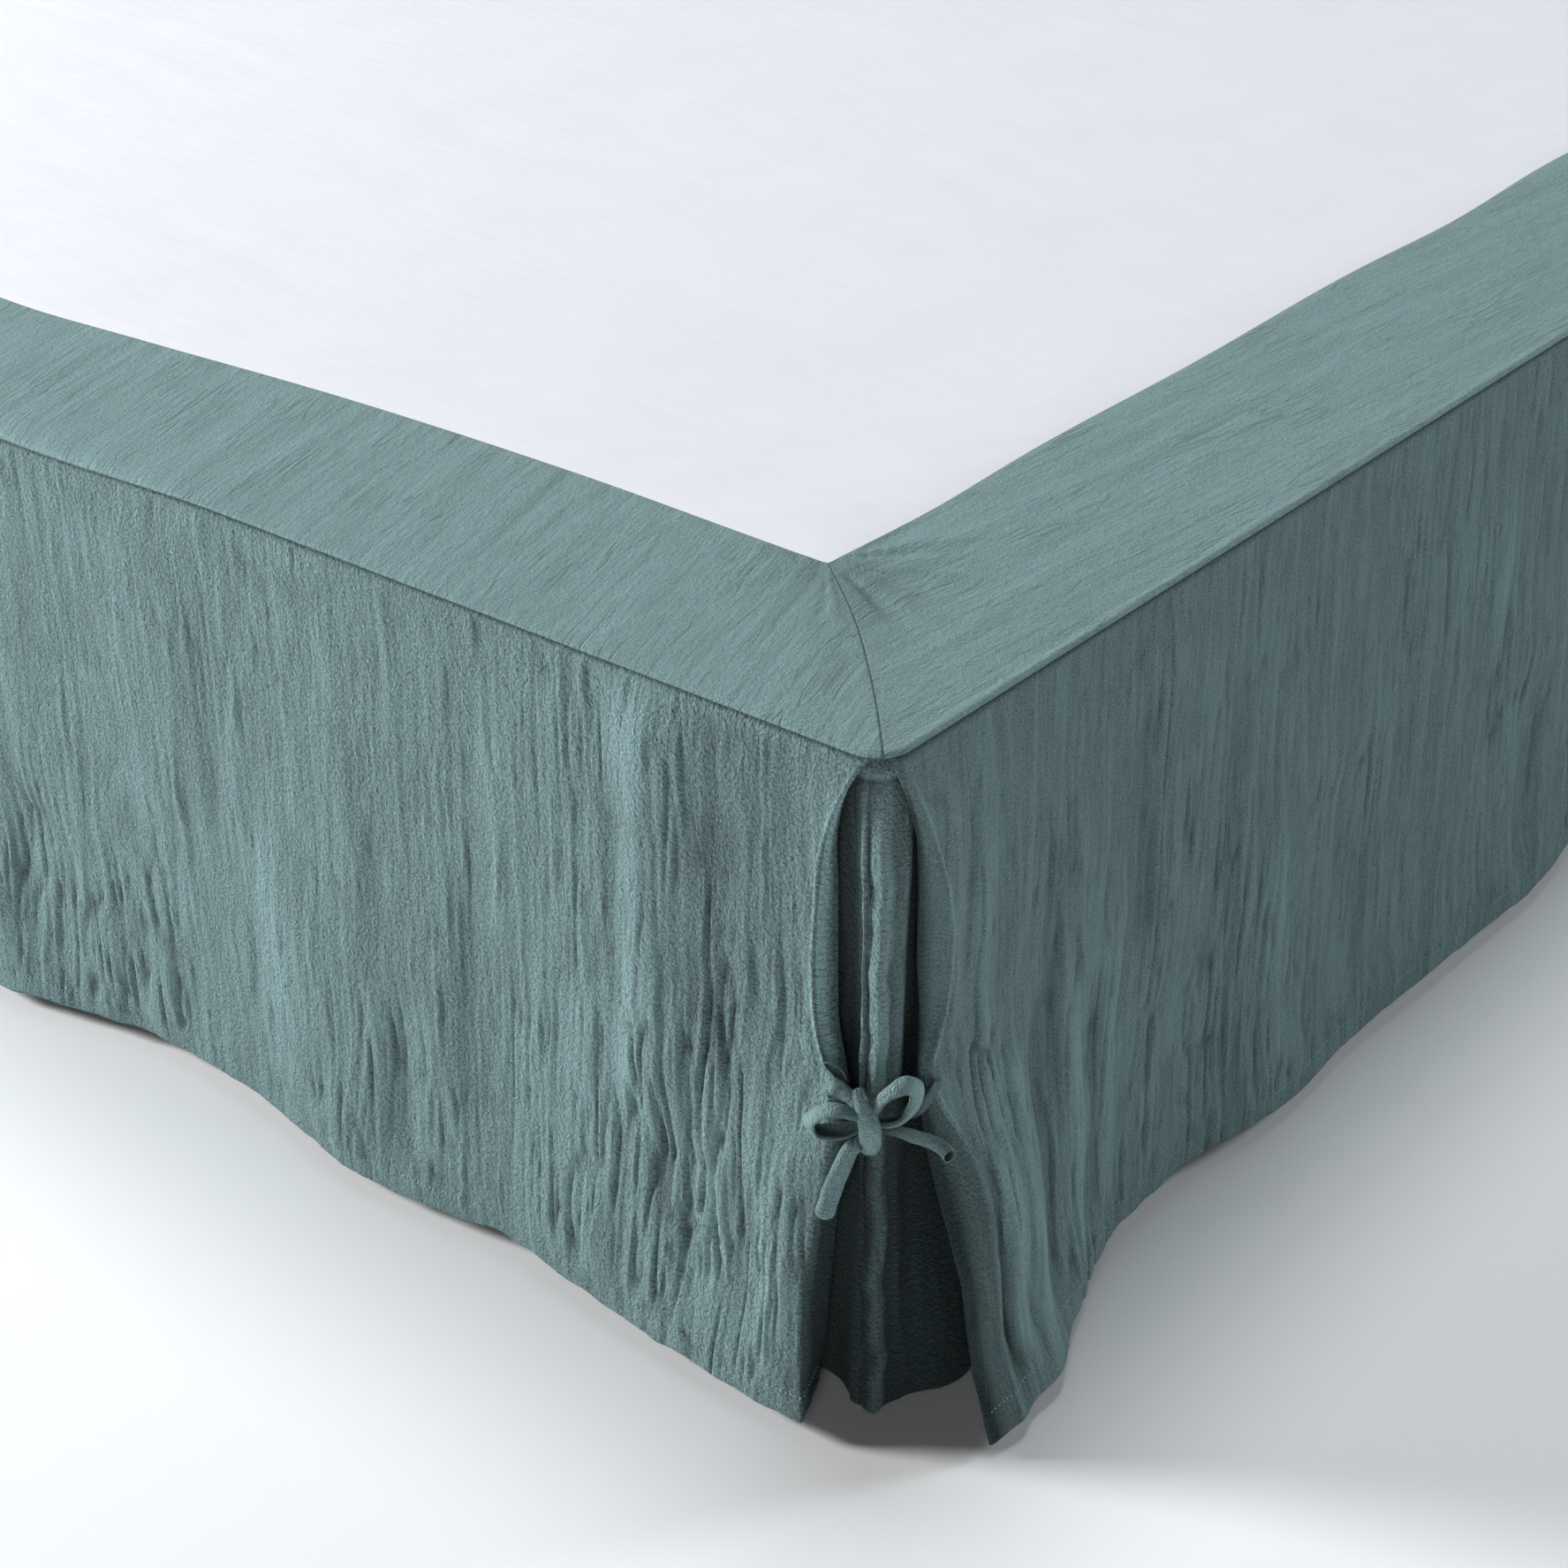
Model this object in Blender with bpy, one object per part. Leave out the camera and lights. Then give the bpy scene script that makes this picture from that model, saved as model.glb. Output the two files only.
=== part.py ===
"""Bed skirt on a plain bed base.

A white cotton deck lies on the base, with a gauze border round it that is mitred at the foot corners.
Gauze skirts hang from the border along the foot and both sides. They are split at the foot corners, where
a gauze insert hangs behind the split and two narrow ties draw the skirts' edges together in a bow.

Metres, +Z up, the foot of the bed towards -Y. The origin is on the floor, at the middle of the whole.
Run with: blender --background --python part.py
"""

import math

import bpy
import numpy as np

MM = 0.001

# Driving sizes of the bed and the cloth.
BED_WIDTH = 1.40  # between the two side seams
BED_LENGTH = 1.90  # from the foot seam to the head end
FOOT_Y = -0.9387  # of the foot seam, so that the origin is the middle of the whole, flared hem included
SEAM_HEIGHT = 0.360  # from the floor to the seam between a skirt and the border
DROP = 0.350  # of a skirt, from its seam to its hem
CLOTH = 0.0016  # thickness of the double gauze and of the deck cotton
HEM_CLOTH = 0.0026  # thickness of the turned hem
HEM_DEPTH = 0.016
GAP = 0.0003  # between two pieces that touch

# The border's rolled outer edge and its corners.
EDGE_ROLL = 0.002
EDGE_LIP = 0.001  # straight stretch between the roll and the seam
TOP = SEAM_HEIGHT + EDGE_LIP + EDGE_ROLL
CORNER_RADIUS = 0.017
CORNER_WIDTH = 0.136  # width of the border where the mitre meets the deck
MITRE_BOW = 0.0045  # how far the mitre seam bows out of straight, towards the side band
MITRE_EASE = 0.120  # how far along a band the bow bends it

# The bed base and its legs.
BASE_INSET = 0.010  # from the seams to the base's sides
BASE_HEAD_INSET = 0.002
BASE_CORNER = 0.050
BASE_EDGE = 0.010
BASE_BOTTOM = 0.160
LEG_TOP_RADIUS = 0.030
LEG_FOOT_RADIUS = 0.022
LEG_INSET = 0.110

# The corner insert, the split's ties and their bow.
TIE_WIDTH = 0.0085
TIE_DEPTH = 0.0055
BOW_RIGHT, BOW_OUT, BOW_DROP = -0.003, 0.001, 0.177  # of the knot, from the corner's vertical line

# How the cloth falls.
RISE = 1.3  # power with which the hem's waves grow down the drop
SEAM_HOLD = 0.030  # depth below the seam in which it holds the folds in
FOLD_ROUND = 0.003  # size of the rounding where an edge is turned in

SKIRT_DROPS = np.array([0, 0.07, 0.17, 0.29, 0.41, 0.485, 0.57, 0.69, 0.82, 0.93]) * DROP
SKIRT_DROPS = np.append(SKIRT_DROPS, [DROP - HEM_DEPTH + 0.002, DROP])


def table(names, rows):
    """Named columns, in metres, of a table that is written in millimetres."""
    return dict(zip(names.split(), np.array(rows, float).T * MM))


# The turned-in edges beside a split. drop is below the seam, fold and free are the distances from the
# corner to the turn and to the cloth's edge, and the last columns are how far each stands out.
FOOT_EDGE = table(
    "drop fold fold_out free free_out",
    [
        (0, 12, 0, 9, 0),
        (15, 19, 3, 14, 0),
        (40, 27, 5, 20, -1),
        (70, 32, 6, 23, -2),
        (112, 34, 6, 23, -2),
        (140, 31, 6, 21, -1),
        (165, 24, 6, 17, 1),
        (200, 22, 7, 17, 1),
        (220, 26, 10, 22, -2),
        (245, 32, 12, 28, -5),
        (285, 36, 15, 32, -6),
        (330, 31, 20, 36, -7),
        (350, 25, 22, 38, -7),
    ],
)
SIDE_EDGE = table(
    "drop fold fold_out free free_out",
    [
        (0, 10, 0, 7, 0),
        (15, 17, 2, 13, -1),
        (40, 28, 4, 22, -1),
        (70, 39, 5, 28, -1),
        (112, 46, 5, 30, -2),
        (143, 42, 5, 30, -2),
        (165, 31, 5, 26, 0),
        (185, 36, 8, 25, 2),
        (205, 44, 14, 25, 6),
        (232, 46, 25, 25, 14),
        (271, 45, 34, 25, 28),
        (317, 45, 40, 25, 36),
        (350, 45, 55, 25, 51),
    ],
)
FOOT_REACH = 0.250  # how far from the corner the turned-in edge shapes the skirt
SIDE_REACH = 0.155

# How far the hem stands out, and how low it hangs, along each skirt.
FOOT_HEM = table(
    "along out drop",
    [
        (0, 6, 352),
        (190, 8, 350),
        (232, 6, 349),
        (264, 11, 350),
        (320, 15, 351),
        (388, 6, 350),
        (437, 0, 349),
        (525, 0, 350),
        (562, 8, 350),
        (610, 18, 351),
        (690, 8, 350),
        (760, 2, 350),
        (830, 13, 351),
        (905, 5, 349),
        (985, 14, 350),
        (1060, 8, 351),
        (1130, 2, 349),
        (1200, 9, 350),
        (1400, 6, 352),
    ],
)
RIGHT_HEM = table(
    "along out drop",
    [
        (0, 6, 354),
        (196, 6, 350),
        (267, 9, 350),
        (307, 17, 350),
        (356, 21, 351),
        (420, 18, 350),
        (479, 20, 350),
        (540, 22, 350),
        (645, 24, 351),
        (720, 14, 350),
        (790, 8, 349),
        (880, 19, 350),
        (970, 12, 350),
        (1040, 4, 350),
        (1140, 16, 351),
        (1230, 20, 350),
        (1330, 7, 349),
        (1430, 13, 350),
        (1530, 21, 351),
        (1640, 10, 350),
        (1740, 4, 349),
        (1830, 12, 350),
        (1900, 8, 350),
    ],
)
LEFT_HEM = table(
    "along out drop",
    [
        (0, 6, 354),
        (196, 7, 350),
        (280, 16, 351),
        (350, 10, 350),
        (430, 4, 349),
        (520, 15, 350),
        (600, 21, 351),
        (690, 17, 350),
        (780, 7, 350),
        (850, 12, 350),
        (940, 20, 351),
        (1050, 9, 350),
        (1120, 3, 349),
        (1220, 14, 350),
        (1300, 18, 350),
        (1400, 8, 350),
        (1500, 15, 351),
        (1620, 6, 349),
        (1720, 17, 350),
        (1820, 10, 350),
        (1900, 7, 350),
    ],
)

# Upright ridges and hollows in the skirts: where, how wide, between which drops, and how far out.
FOOT_FOLDS = table(
    "along width top bottom out",
    [
        (128, 26, -20, 230, 5),
        (78, 22, 40, 330, -4),
        (196, 20, 200, 360, 3),
        (282, 13, 210, 340, -4),
        (350, 30, 160, 350, 4),
        (470, 40, -20, 210, 3),
        (585, 22, 190, 345, -6),
        (700, 40, 10, 260, 4),
        (930, 40, -10, 220, 3),
        (1118, 24, 200, 350, -5),
        (1272, 26, -20, 230, 5),
        (1322, 22, 40, 330, -4),
    ],
)
SIDE_FOLDS = table(
    "along width top bottom out",
    [
        (105, 18, 180, 370, -4),
        (150, 22, 60, 300, 3),
        (240, 30, -10, 240, 3),
        (395, 30, 150, 360, -4),
        (515, 24, 60, 300, 3),
        (612, 20, 180, 350, -6),
        (800, 40, 0, 230, 4),
        (1010, 30, 120, 350, -4),
        (1260, 40, 0, 260, 4),
        (1480, 30, 150, 360, -4),
        (1700, 40, 10, 260, 4),
    ],
)

# The border's width along the foot and along a side, measured from the corner.
FOOT_BORDER = table(
    "along width",
    [(0, 136), (136, 136), (300, 141), (460, 138), (610, 127), (700, 121), (790, 126), (940, 138)]
    + [(1100, 141), (1264, 136), (1400, 136)],
)
SIDE_BORDER = table(
    "along width",
    [(0, 136), (136, 136), (210, 134), (307, 138), (460, 138), (640, 142), (760, 139), (890, 145)]
    + [(1100, 140), (1350, 142), (1650, 138), (1900, 140)],
)

# How far the insert lies behind the seam line. station runs along the border's rounded edge from the
# middle of the corner, negative on the foot side; the other columns are four heights, top to hem.
INSERT = table(
    "station seam middle tie hem",
    [
        (-112, 2.0, 3.0, 3.5, 6),
        (-75, 2.0, 3.5, 5.0, 11),
        (-50, 2.5, 4.8, 6.0, 14),
        (-36, 2.5, 8.5, 9.0, 13.5),
        (-26, 2.5, 9.0, 9.5, 11),
        (-17, 2.5, 6.5, 7.5, 6),
        (-9, 2.5, 4.0, 5.0, 2),
        (0, 2.5, 4.0, 4.8, 1),
        (9, 2.9, 5.0, 5.5, 1.5),
        (17, 3.0, 7.0, 7.5, 0.5),
        (26, 2.8, 9.0, 9.0, 0),
        (36, 2.5, 8.5, 9.0, 0),
        (50, 2.5, 4.8, 6.0, 1),
        (75, 2.0, 3.5, 5.0, 4),
        (112, 2.0, 3.0, 3.5, 6),
    ],
)
INSERT_DROPS = np.array([0, 110, 170, 350]) * MM
INSERT_HEM = 0.3495

# Where each tie is sewn on: below the seam, back from the turned edge, and clear of the cloth.
SEWN = {
    "foot": {"drop": 0.160, "from_fold": 0.001, "clear": 0.0001},
    "side": {"drop": 0.171, "from_fold": 0.002, "clear": 0.0003},
}

# Routes of the ties, from the knot: to the right as seen from outside the corner, out from it, and up.
KNOT = [(-3.5, -1.5, 12), (-3, 2.6, 7), (0, 3.6, -1), (2.2, 3, -8), (3, -1.5, -12)]
FOOT_LOOP = [(0, 0, 1.5), (-7, 0, 2.6), (-14, -3, 3.9), (-20, -6, 5.3), (-25.5, -8, 1), (-27, -9, -5.5)]
FOOT_LOOP += [(-24.5, -8, -10.5), (-18.5, -5, -10), (-12.5, -2, -7.5), (-6, 0, -4.6), (0, 0, -3)]
FOOT_TAIL = [(0, 0.5, -5), (-5.5, 2, -6.5), (-11, 2, -12.5), (-15, 1, -23.5), (-18, 0, -34.5), (-21.3, 0, -49)]
FOOT_STRAP = [(-17, -8, 12.5), (-11, -4.5, 9.5), (-5, -1, 8), (-1, 0.5, 6)]
SIDE_ROOT = [(10.1, -2, 7.5), (10.1, 0, 3), (10.1, 0, -3), (10.1, -2, -7.5)]
SIDE_LOOP = [(10.1, 0, 4), (8.4, 1.5, 10.4), (8.5, 1.5, 16.5), (14, 0, 20), (19.7, -2, 19.5), (22.5, -3, 13.5)]
SIDE_LOOP += [(20.5, -2.5, 6.6), (16.5, -1, 1.7), (12.5, 0, -0.6), (10.1, 0, -1.5)]
SIDE_TAIL = [(10.1, 0, -3.5), (13, -1, -6), (18, -3, -10.5), (25.5, -5, -17), (34.5, -7, -22)]
SIDE_STRAP = [(22, -12, -0.5), (14.5, -8, -1.5), (9, -2, -0.5)]

MATERIALS = {
    "gauze": ((0.165, 0.235, 0.230, 1), 0.95),
    "deck_cotton": ((0.83, 0.84, 0.87, 1), 0.9),
    "base_cover": ((0.62, 0.60, 0.56, 1), 0.9),
    "leg_wood": ((0.45, 0.30, 0.18, 1), 0.5),
}


def clear_scene():
    for obj in list(bpy.data.objects):
        bpy.data.objects.remove(obj, do_unlink=True)


def material(name):
    """The named Principled material, made the first time it is asked for."""
    found = bpy.data.materials.get(name)
    if found:
        return found
    colour, roughness = MATERIALS[name]
    made = bpy.data.materials.new(name)
    made.use_nodes = True
    shader = made.node_tree.nodes["Principled BSDF"]
    shader.inputs["Base Color"].default_value = colour
    shader.inputs["Roughness"].default_value = roughness
    shader.inputs["Metallic"].default_value = 0
    return made


def smooth(t):
    """0 below 0, 1 above 1, and an even S between."""
    t = np.clip(t, 0, 1)
    return t * t * (3 - 2 * t)


def curve(at, xs, ys):
    """A smooth line through the points (xs, ys), read at the places `at`: one cubic between each two."""
    slopes = np.gradient(ys, xs)
    i = np.clip(np.searchsorted(xs, at, side="right") - 1, 0, len(xs) - 2)
    span = xs[i + 1] - xs[i]
    t = np.clip((at - xs[i]) / span, 0, 1)
    start = (1 + 2 * t) * (1 - t) ** 2 * ys[i] + t * (1 - t) ** 2 * span * slopes[i]
    return start + t * t * (3 - 2 * t) * ys[i + 1] - t * t * (1 - t) * span * slopes[i + 1]


def place(side, along, out, height):
    """World points of a place on one side of the bed. Along runs from a foot corner, the right one for
    the foot itself, and out points away from the bed."""
    if side == "foot":
        return np.stack([BED_WIDTH / 2 - along, FOOT_Y - out, height], axis=-1)
    across = BED_WIDTH / 2 + out
    return np.stack([across if side == "right" else -across, FOOT_Y + along, height], axis=-1)


def new_object(name, points, faces, finish, modifiers_follow=False):
    """A mesh object with its faces pointing out, whichever way its grid was laid."""
    points = np.asarray(points, float)
    fans = [(f[0], f[i], f[i + 1]) for f in faces for i in range(1, len(f) - 1)]
    corners = points[np.array(fans)]
    volume = np.einsum("ij,ij->i", corners[:, 0], np.cross(corners[:, 1], corners[:, 2])).sum()
    if volume < 0:
        faces = [tuple(reversed(f)) for f in faces]
    mesh = bpy.data.meshes.new(name)
    mesh.from_pydata([tuple(p) for p in points], [], faces)
    mesh.materials.append(material(finish))
    if not modifiers_follow:
        mesh.shade_smooth()
        mesh.set_sharp_from_angle(angle=math.radians(50))
    obj = bpy.data.objects.new(name, mesh)
    bpy.context.scene.collection.objects.link(obj)
    return obj


def grid_faces(rows, columns, start=0, closed=False):
    """Quads of a grid of points, row by row; closed joins its last column to its first."""
    faces = []
    for r in range(rows - 1):
        for c in range(columns if closed else columns - 1):
            here, there = start + r * columns + c, start + r * columns + (c + 1) % columns
            faces.append((here, there, there + columns, here + columns))
    return faces


def sheet(name, outer, thickness, facing, finish, level_top=False):
    """A closed sheet of cloth: the grid `outer` is its outer face, and the inner face lies `thickness`
    behind it, along the grid's own normals. `facing` says which way is out. A level top keeps the first
    row's thickness level, where it lies under a seam."""
    rows, columns = outer.shape[:2]
    normal = np.cross(np.gradient(outer, axis=1), np.gradient(outer, axis=0))
    if level_top:
        normal[0, :, 2] = 0
    normal /= np.linalg.norm(normal, axis=-1, keepdims=True)
    if (normal @ np.array(facing, float)).mean() < 0:
        normal = -normal
    inner = outer - normal * np.broadcast_to(thickness, (rows, columns))[..., None]
    points = np.concatenate([outer.reshape(-1, 3), inner.reshape(-1, 3)])
    back = rows * columns
    faces = grid_faces(rows, columns)
    faces += [tuple(reversed(f)) for f in grid_faces(rows, columns, back)]
    index = np.arange(back).reshape(rows, columns)
    rim = [*index[0], *index[1:, -1], *index[-1, -2::-1], *index[-2:0:-1, 0]]
    for a, b in zip(rim, rim[1:] + rim[:1]):
        faces.append((b, a, a + back, b + back))
    return new_object(name, points, faces, finish)


def folds_out(folds, along, drop):
    """How far the upright folds push the cloth out: each a soft ridge, fading at its two ends."""
    total = np.zeros(np.broadcast(along, drop).shape)
    for a, w, top, bottom, out in zip(*(folds[k] for k in ("along", "width", "top", "bottom", "out"))):
        ends = smooth((drop - top) / 0.05) * smooth((bottom - drop) / 0.05)
        total += out * np.exp(-(((along - a) / w) ** 2)) * ends
    return total


def waves_out(hem, folds, along, drop):
    """The skirt's own fall: the hem's waves, growing down the drop, and the upright folds."""
    waves = curve(along, hem["along"], hem["out"]) * (drop / DROP) ** RISE
    return waves + folds_out(folds, along, drop) * smooth(drop / SEAM_HOLD)


def edge_at(edge, key, drop):
    return curve(drop, edge["drop"], edge[key])


def corner_depth(skirt, along):
    """How far the border's rounded corner lies behind the straight line of its edge."""
    from_corner = np.min([abs(along - corner) for corner in skirt["corners"]], axis=0)
    inside = np.clip(CORNER_RADIUS - from_corner, 0, CORNER_RADIUS)
    return CORNER_RADIUS - np.sqrt(CORNER_RADIUS**2 - inside**2)


def skirt_out(skirt, along, drop):
    """How far a skirt's face stands out. Near a split it eases into the turned-in edge."""
    out = waves_out(skirt["hem"], skirt["folds"], along, drop)
    for corner in skirt["corners"]:
        from_corner = abs(along - corner)
        fold = edge_at(skirt["edge"], "fold", drop)
        own = waves_out(skirt["hem"], skirt["folds"], abs(corner - fold), drop)
        pull = edge_at(skirt["edge"], "fold_out", drop) - own
        out = out + pull * (1 - smooth((from_corner - fold) / skirt["reach"]))
    return out


def turned_edge(skirt, corner, drop):
    """Columns of the grid at a split, from the cloth's edge round the turn to the face: distances from
    the corner, and how far out."""
    free = np.stack([edge_at(skirt["edge"], k, drop) for k in ("free", "free_out")], axis=-1)
    fold = np.stack([edge_at(skirt["edge"], k, drop) for k in ("fold", "fold_out")], axis=-1)
    strip = np.linalg.norm(free - fold, axis=-1, keepdims=True)
    inside = fold + (free - fold) * np.minimum(FOLD_ROUND / strip, 0.4)

    def face(from_corner):
        return np.stack([from_corner, skirt_out(skirt, abs(corner - from_corner), drop)], axis=-1)

    outside = face(fold[:, 0] + FOLD_ROUND)
    turn = 0.5 * fold + 0.25 * (inside + outside)
    between = face((fold[:, 0] + skirt["face_starts"]) / 2)
    return np.stack([free, (free + fold) / 2, inside, turn, outside, between], axis=1)


def skirt_grid(skirt, drops):
    """(along, out, height) of a skirt's outer face, a row for each drop."""
    blocks = []
    for corner in skirt["corners"]:
        block = turned_edge(skirt, corner, drops)
        if corner > 0:
            block = block[:, ::-1]
            block[..., 0] = corner - block[..., 0]
        blocks.append(block)
    low, high = skirt["face_starts"], skirt["length"] - (skirt["face_starts"] if len(blocks) > 1 else 0)
    stations = np.linspace(low, high, skirt["stations"])
    along, drop = np.meshgrid(stations, drops)
    face = np.stack([along, skirt_out(skirt, along, drop)], axis=-1)
    plan = np.concatenate([blocks[0], face, *blocks[1:]], axis=1)
    plan[..., 1] -= corner_depth(skirt, plan[..., 0]) * (1 - smooth(drops / SEAM_HOLD))[:, None]
    hem_drop = curve(plan[..., 0], skirt["hem"]["along"], skirt["hem"]["drop"])
    height = SEAM_HEIGHT - GAP - drops[:, None] * (hem_drop - GAP) / DROP
    return np.concatenate([plan, height[..., None]], axis=-1)


def hem_thickness(drops):
    """Cloth thickness down the drop, with the hem's extra turns."""
    return (CLOTH + (HEM_CLOTH - CLOTH) * smooth((drops - (DROP - HEM_DEPTH)) / 0.002))[:, None]


SKIRTS = {
    "foot": {
        "hem": FOOT_HEM,
        "folds": FOOT_FOLDS,
        "edge": FOOT_EDGE,
        "reach": FOOT_REACH,
        "corners": [0, BED_WIDTH],
        "length": BED_WIDTH,
        "face_starts": 0.062,
        "stations": 36,
        "facing": (0, -1, 0),
    },
    "right": {
        "hem": RIGHT_HEM,
        "folds": SIDE_FOLDS,
        "edge": SIDE_EDGE,
        "reach": SIDE_REACH,
        "corners": [0],
        "length": BED_LENGTH,
        "face_starts": 0.068,
        "stations": 50,
        "facing": (1, 0, 0),
    },
}
SKIRTS["left"] = {**SKIRTS["right"], "hem": LEFT_HEM, "facing": (-1, 0, 0)}


def make_skirt(side):
    """One hanging skirt panel, its split edges turned in."""
    skirt = SKIRTS[side]
    grid = skirt_grid(skirt, SKIRT_DROPS)
    outer = place(side, grid[..., 0], grid[..., 1], grid[..., 2])
    thickness = hem_thickness(SKIRT_DROPS)
    return sheet("skirt_" + side, outer, thickness, skirt["facing"], "gauze", level_top=True)


def outline(station):
    """The border's outer edge round a foot corner, as (along the foot, out from the foot) and its normal.
    Station is the length from the corner's middle, negative towards the foot: a quarter circle between
    two straight stretches."""
    turn = CORNER_RADIUS * math.pi / 4
    angle = np.clip(station, -turn, turn) / CORNER_RADIUS + math.pi / 4
    straight = station - np.clip(station, -turn, turn)
    normal = np.stack([-np.sin(angle), np.cos(angle)], axis=-1)
    centre = np.array([CORNER_RADIUS, -CORNER_RADIUS])
    forward = np.stack([-np.cos(angle), -np.sin(angle)], axis=-1)
    return centre + CORNER_RADIUS * normal + forward * straight[..., None], normal


def make_insert(name, mirrored):
    """The panel behind a split: it wraps the corner, with a ridge down its middle and a hollow each side."""
    stations = np.concatenate([INSERT["station"], INSERT["station"][:-1] + np.diff(INSERT["station"]) / 2])
    stations = np.sort(stations)
    drops = np.array([0, 0.06, 0.18, 0.32, 0.44, 0.54, 0.7, 0.86, 1]) * INSERT_HEM
    heights = [curve(stations, INSERT["station"], INSERT[k]) for k in ("seam", "middle", "tie", "hem")]
    behind = np.array([curve(drops, INSERT_DROPS, column) for column in np.array(heights).T]).T
    edge, normal = outline(stations)
    plan = edge[None] - normal[None] * behind[..., None]
    height = np.broadcast_to((SEAM_HEIGHT - GAP - drops)[:, None], behind.shape)
    outer = place("foot", plan[..., 0], plan[..., 1], height)
    facing = np.array([1, -1, 0])
    if mirrored:
        outer = outer * [-1, 1, 1]
        facing = facing * [-1, 1, 1]
    return sheet(name, outer, CLOTH, facing, "gauze", level_top=True)


def band_grid(inner, outer, normal, mitres):
    """Grid of a border band, across by along. Straight across from the deck to the rolled edge, then
    round the roll. Each mitre, given by its place along and the way it bows, bends the columns near it.
    Points are (along, out, up)."""
    near = outer - normal * 0.008
    shares = np.array([0, 1 / 3, 2 / 3, 1])
    rows = [inner + (near - inner) * share for share in shares]
    for corner, direction in mitres:
        close = 1 - smooth(abs(outer[:, 0] - corner) / MITRE_EASE)
        for row, bow in zip(rows, (0, 1, 0.95, 0.2)):
            row += direction * MITRE_BOW * bow * close[:, None]
    up = [TOP] * len(shares)
    for degrees in (0, 45, 90):
        turned = math.radians(degrees)
        rows.append(outer - normal * EDGE_ROLL * (1 - math.sin(turned)))
        up.append(TOP - EDGE_ROLL * (1 - math.cos(turned)))
    rows.append(outer)
    up.append(SEAM_HEIGHT)
    grid = np.array(rows)
    lift = np.broadcast_to(np.array(up)[:, None, None], grid.shape[:2] + (1,))
    return np.concatenate([grid, lift], axis=-1)


CORNER_COLUMNS = np.array([0, 0.1, 0.5, 1]) * CORNER_RADIUS * math.pi / 4
BAND_STARTS = 0.060  # of a band's even columns, from its corner
BAND_STATIONS = {"foot": 17, "left": 22, "right": 22}
DIAGONAL = np.array([1, 1]) / math.sqrt(2)


def band_edges(side):
    """The inner and outer edges of a border band, as points (along, out), and the outer edge's normals.
    The foot band has a corner at both ends, a side band only at its start."""
    both = side == "foot"
    length = BED_WIDTH if both else BED_LENGTH
    middle = np.linspace(BAND_STARTS, length - (BAND_STARTS if both else 0), BAND_STATIONS[side])
    corner, corner_normal = outline(-CORNER_COLUMNS)
    outer = [corner, np.stack([middle, 0 * middle], axis=-1)]
    normal = [corner_normal, np.stack([0 * middle, 0 * middle + 1], axis=-1)]
    if both:
        outer.append(corner[::-1] * [-1, 1] + [length, 0])
        normal.append(corner_normal[::-1] * [-1, 1])
    outer, normal = np.concatenate(outer), np.concatenate(normal)
    share = (outer[:, 0] - outer[0, 0]) / (outer[-1, 0] - outer[0, 0])
    along = CORNER_WIDTH + share * (length - CORNER_WIDTH * (2 if both else 1))
    border = FOOT_BORDER if both else SIDE_BORDER
    inner = np.stack([along, -curve(along, border["along"], border["width"])], axis=-1)
    return inner, outer, normal


def make_band(side):
    """A band of the border: mitred at the foot corners, and cut square at the head."""
    inner, outer, normal = band_edges(side)
    seam = 0.7 * GAP * DIAGONAL
    mitres = [(outer[0, 0], -DIAGONAL if side == "foot" else DIAGONAL)]
    for points in (inner, outer):
        points[0] += seam
    if side == "foot":
        mitres.append((outer[-1, 0], -DIAGONAL * [-1, 1]))
        for points in (inner, outer):
            points[-1] += seam * [-1, 1]
    grid = band_grid(inner, outer, normal, mitres)
    world = place(side, grid[..., 0], grid[..., 1], grid[..., 2])
    return sheet("band_" + side, world, CLOTH, (0, 0, 1), "gauze")


def prism(name, outline_points, low, high, finish):
    """A flat piece with the given outline, between two heights."""
    count = len(outline_points)
    points = [(x, y, z) for z in (low, high) for x, y in outline_points]
    faces = [tuple(range(count)), tuple(range(2 * count - 1, count - 1, -1))]
    faces += [((i + 1) % count, i, i + count, (i + 1) % count + count) for i in range(count)]
    return new_object(name, points, faces, finish)


def make_deck():
    """The white deck, cut to the inside of the border and level with it."""
    lines = {}
    for side in SKIRTS:
        inner = band_edges(side)[0] - [0, GAP]
        lines[side] = place(side, inner[:, 0], inner[:, 1], inner[:, 0])[:, :2]
    for side in ("left", "right"):
        lines[side][0, 1] += GAP
    around = [*lines["foot"][1:-1], *lines["left"], *lines["right"][::-1]]
    return prism("deck", around, TOP - CLOTH, TOP, "deck_cotton")


def rounded_rectangle(low, high, radius, steps=6):
    """Outline of a rectangle between two corners, its own corners round."""
    points = []
    for quarter, (x, y) in enumerate([(high[0], high[1]), (low[0], high[1]), (low[0], low[1]), (high[0], low[1])]):
        cx = x - radius if x == high[0] else x + radius
        cy = y - radius if y == high[1] else y + radius
        for step in range(steps + 1):
            angle = math.pi / 2 * (quarter + step / steps)
            points.append((cx + radius * math.cos(angle), cy + radius * math.sin(angle)))
    return points


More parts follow.
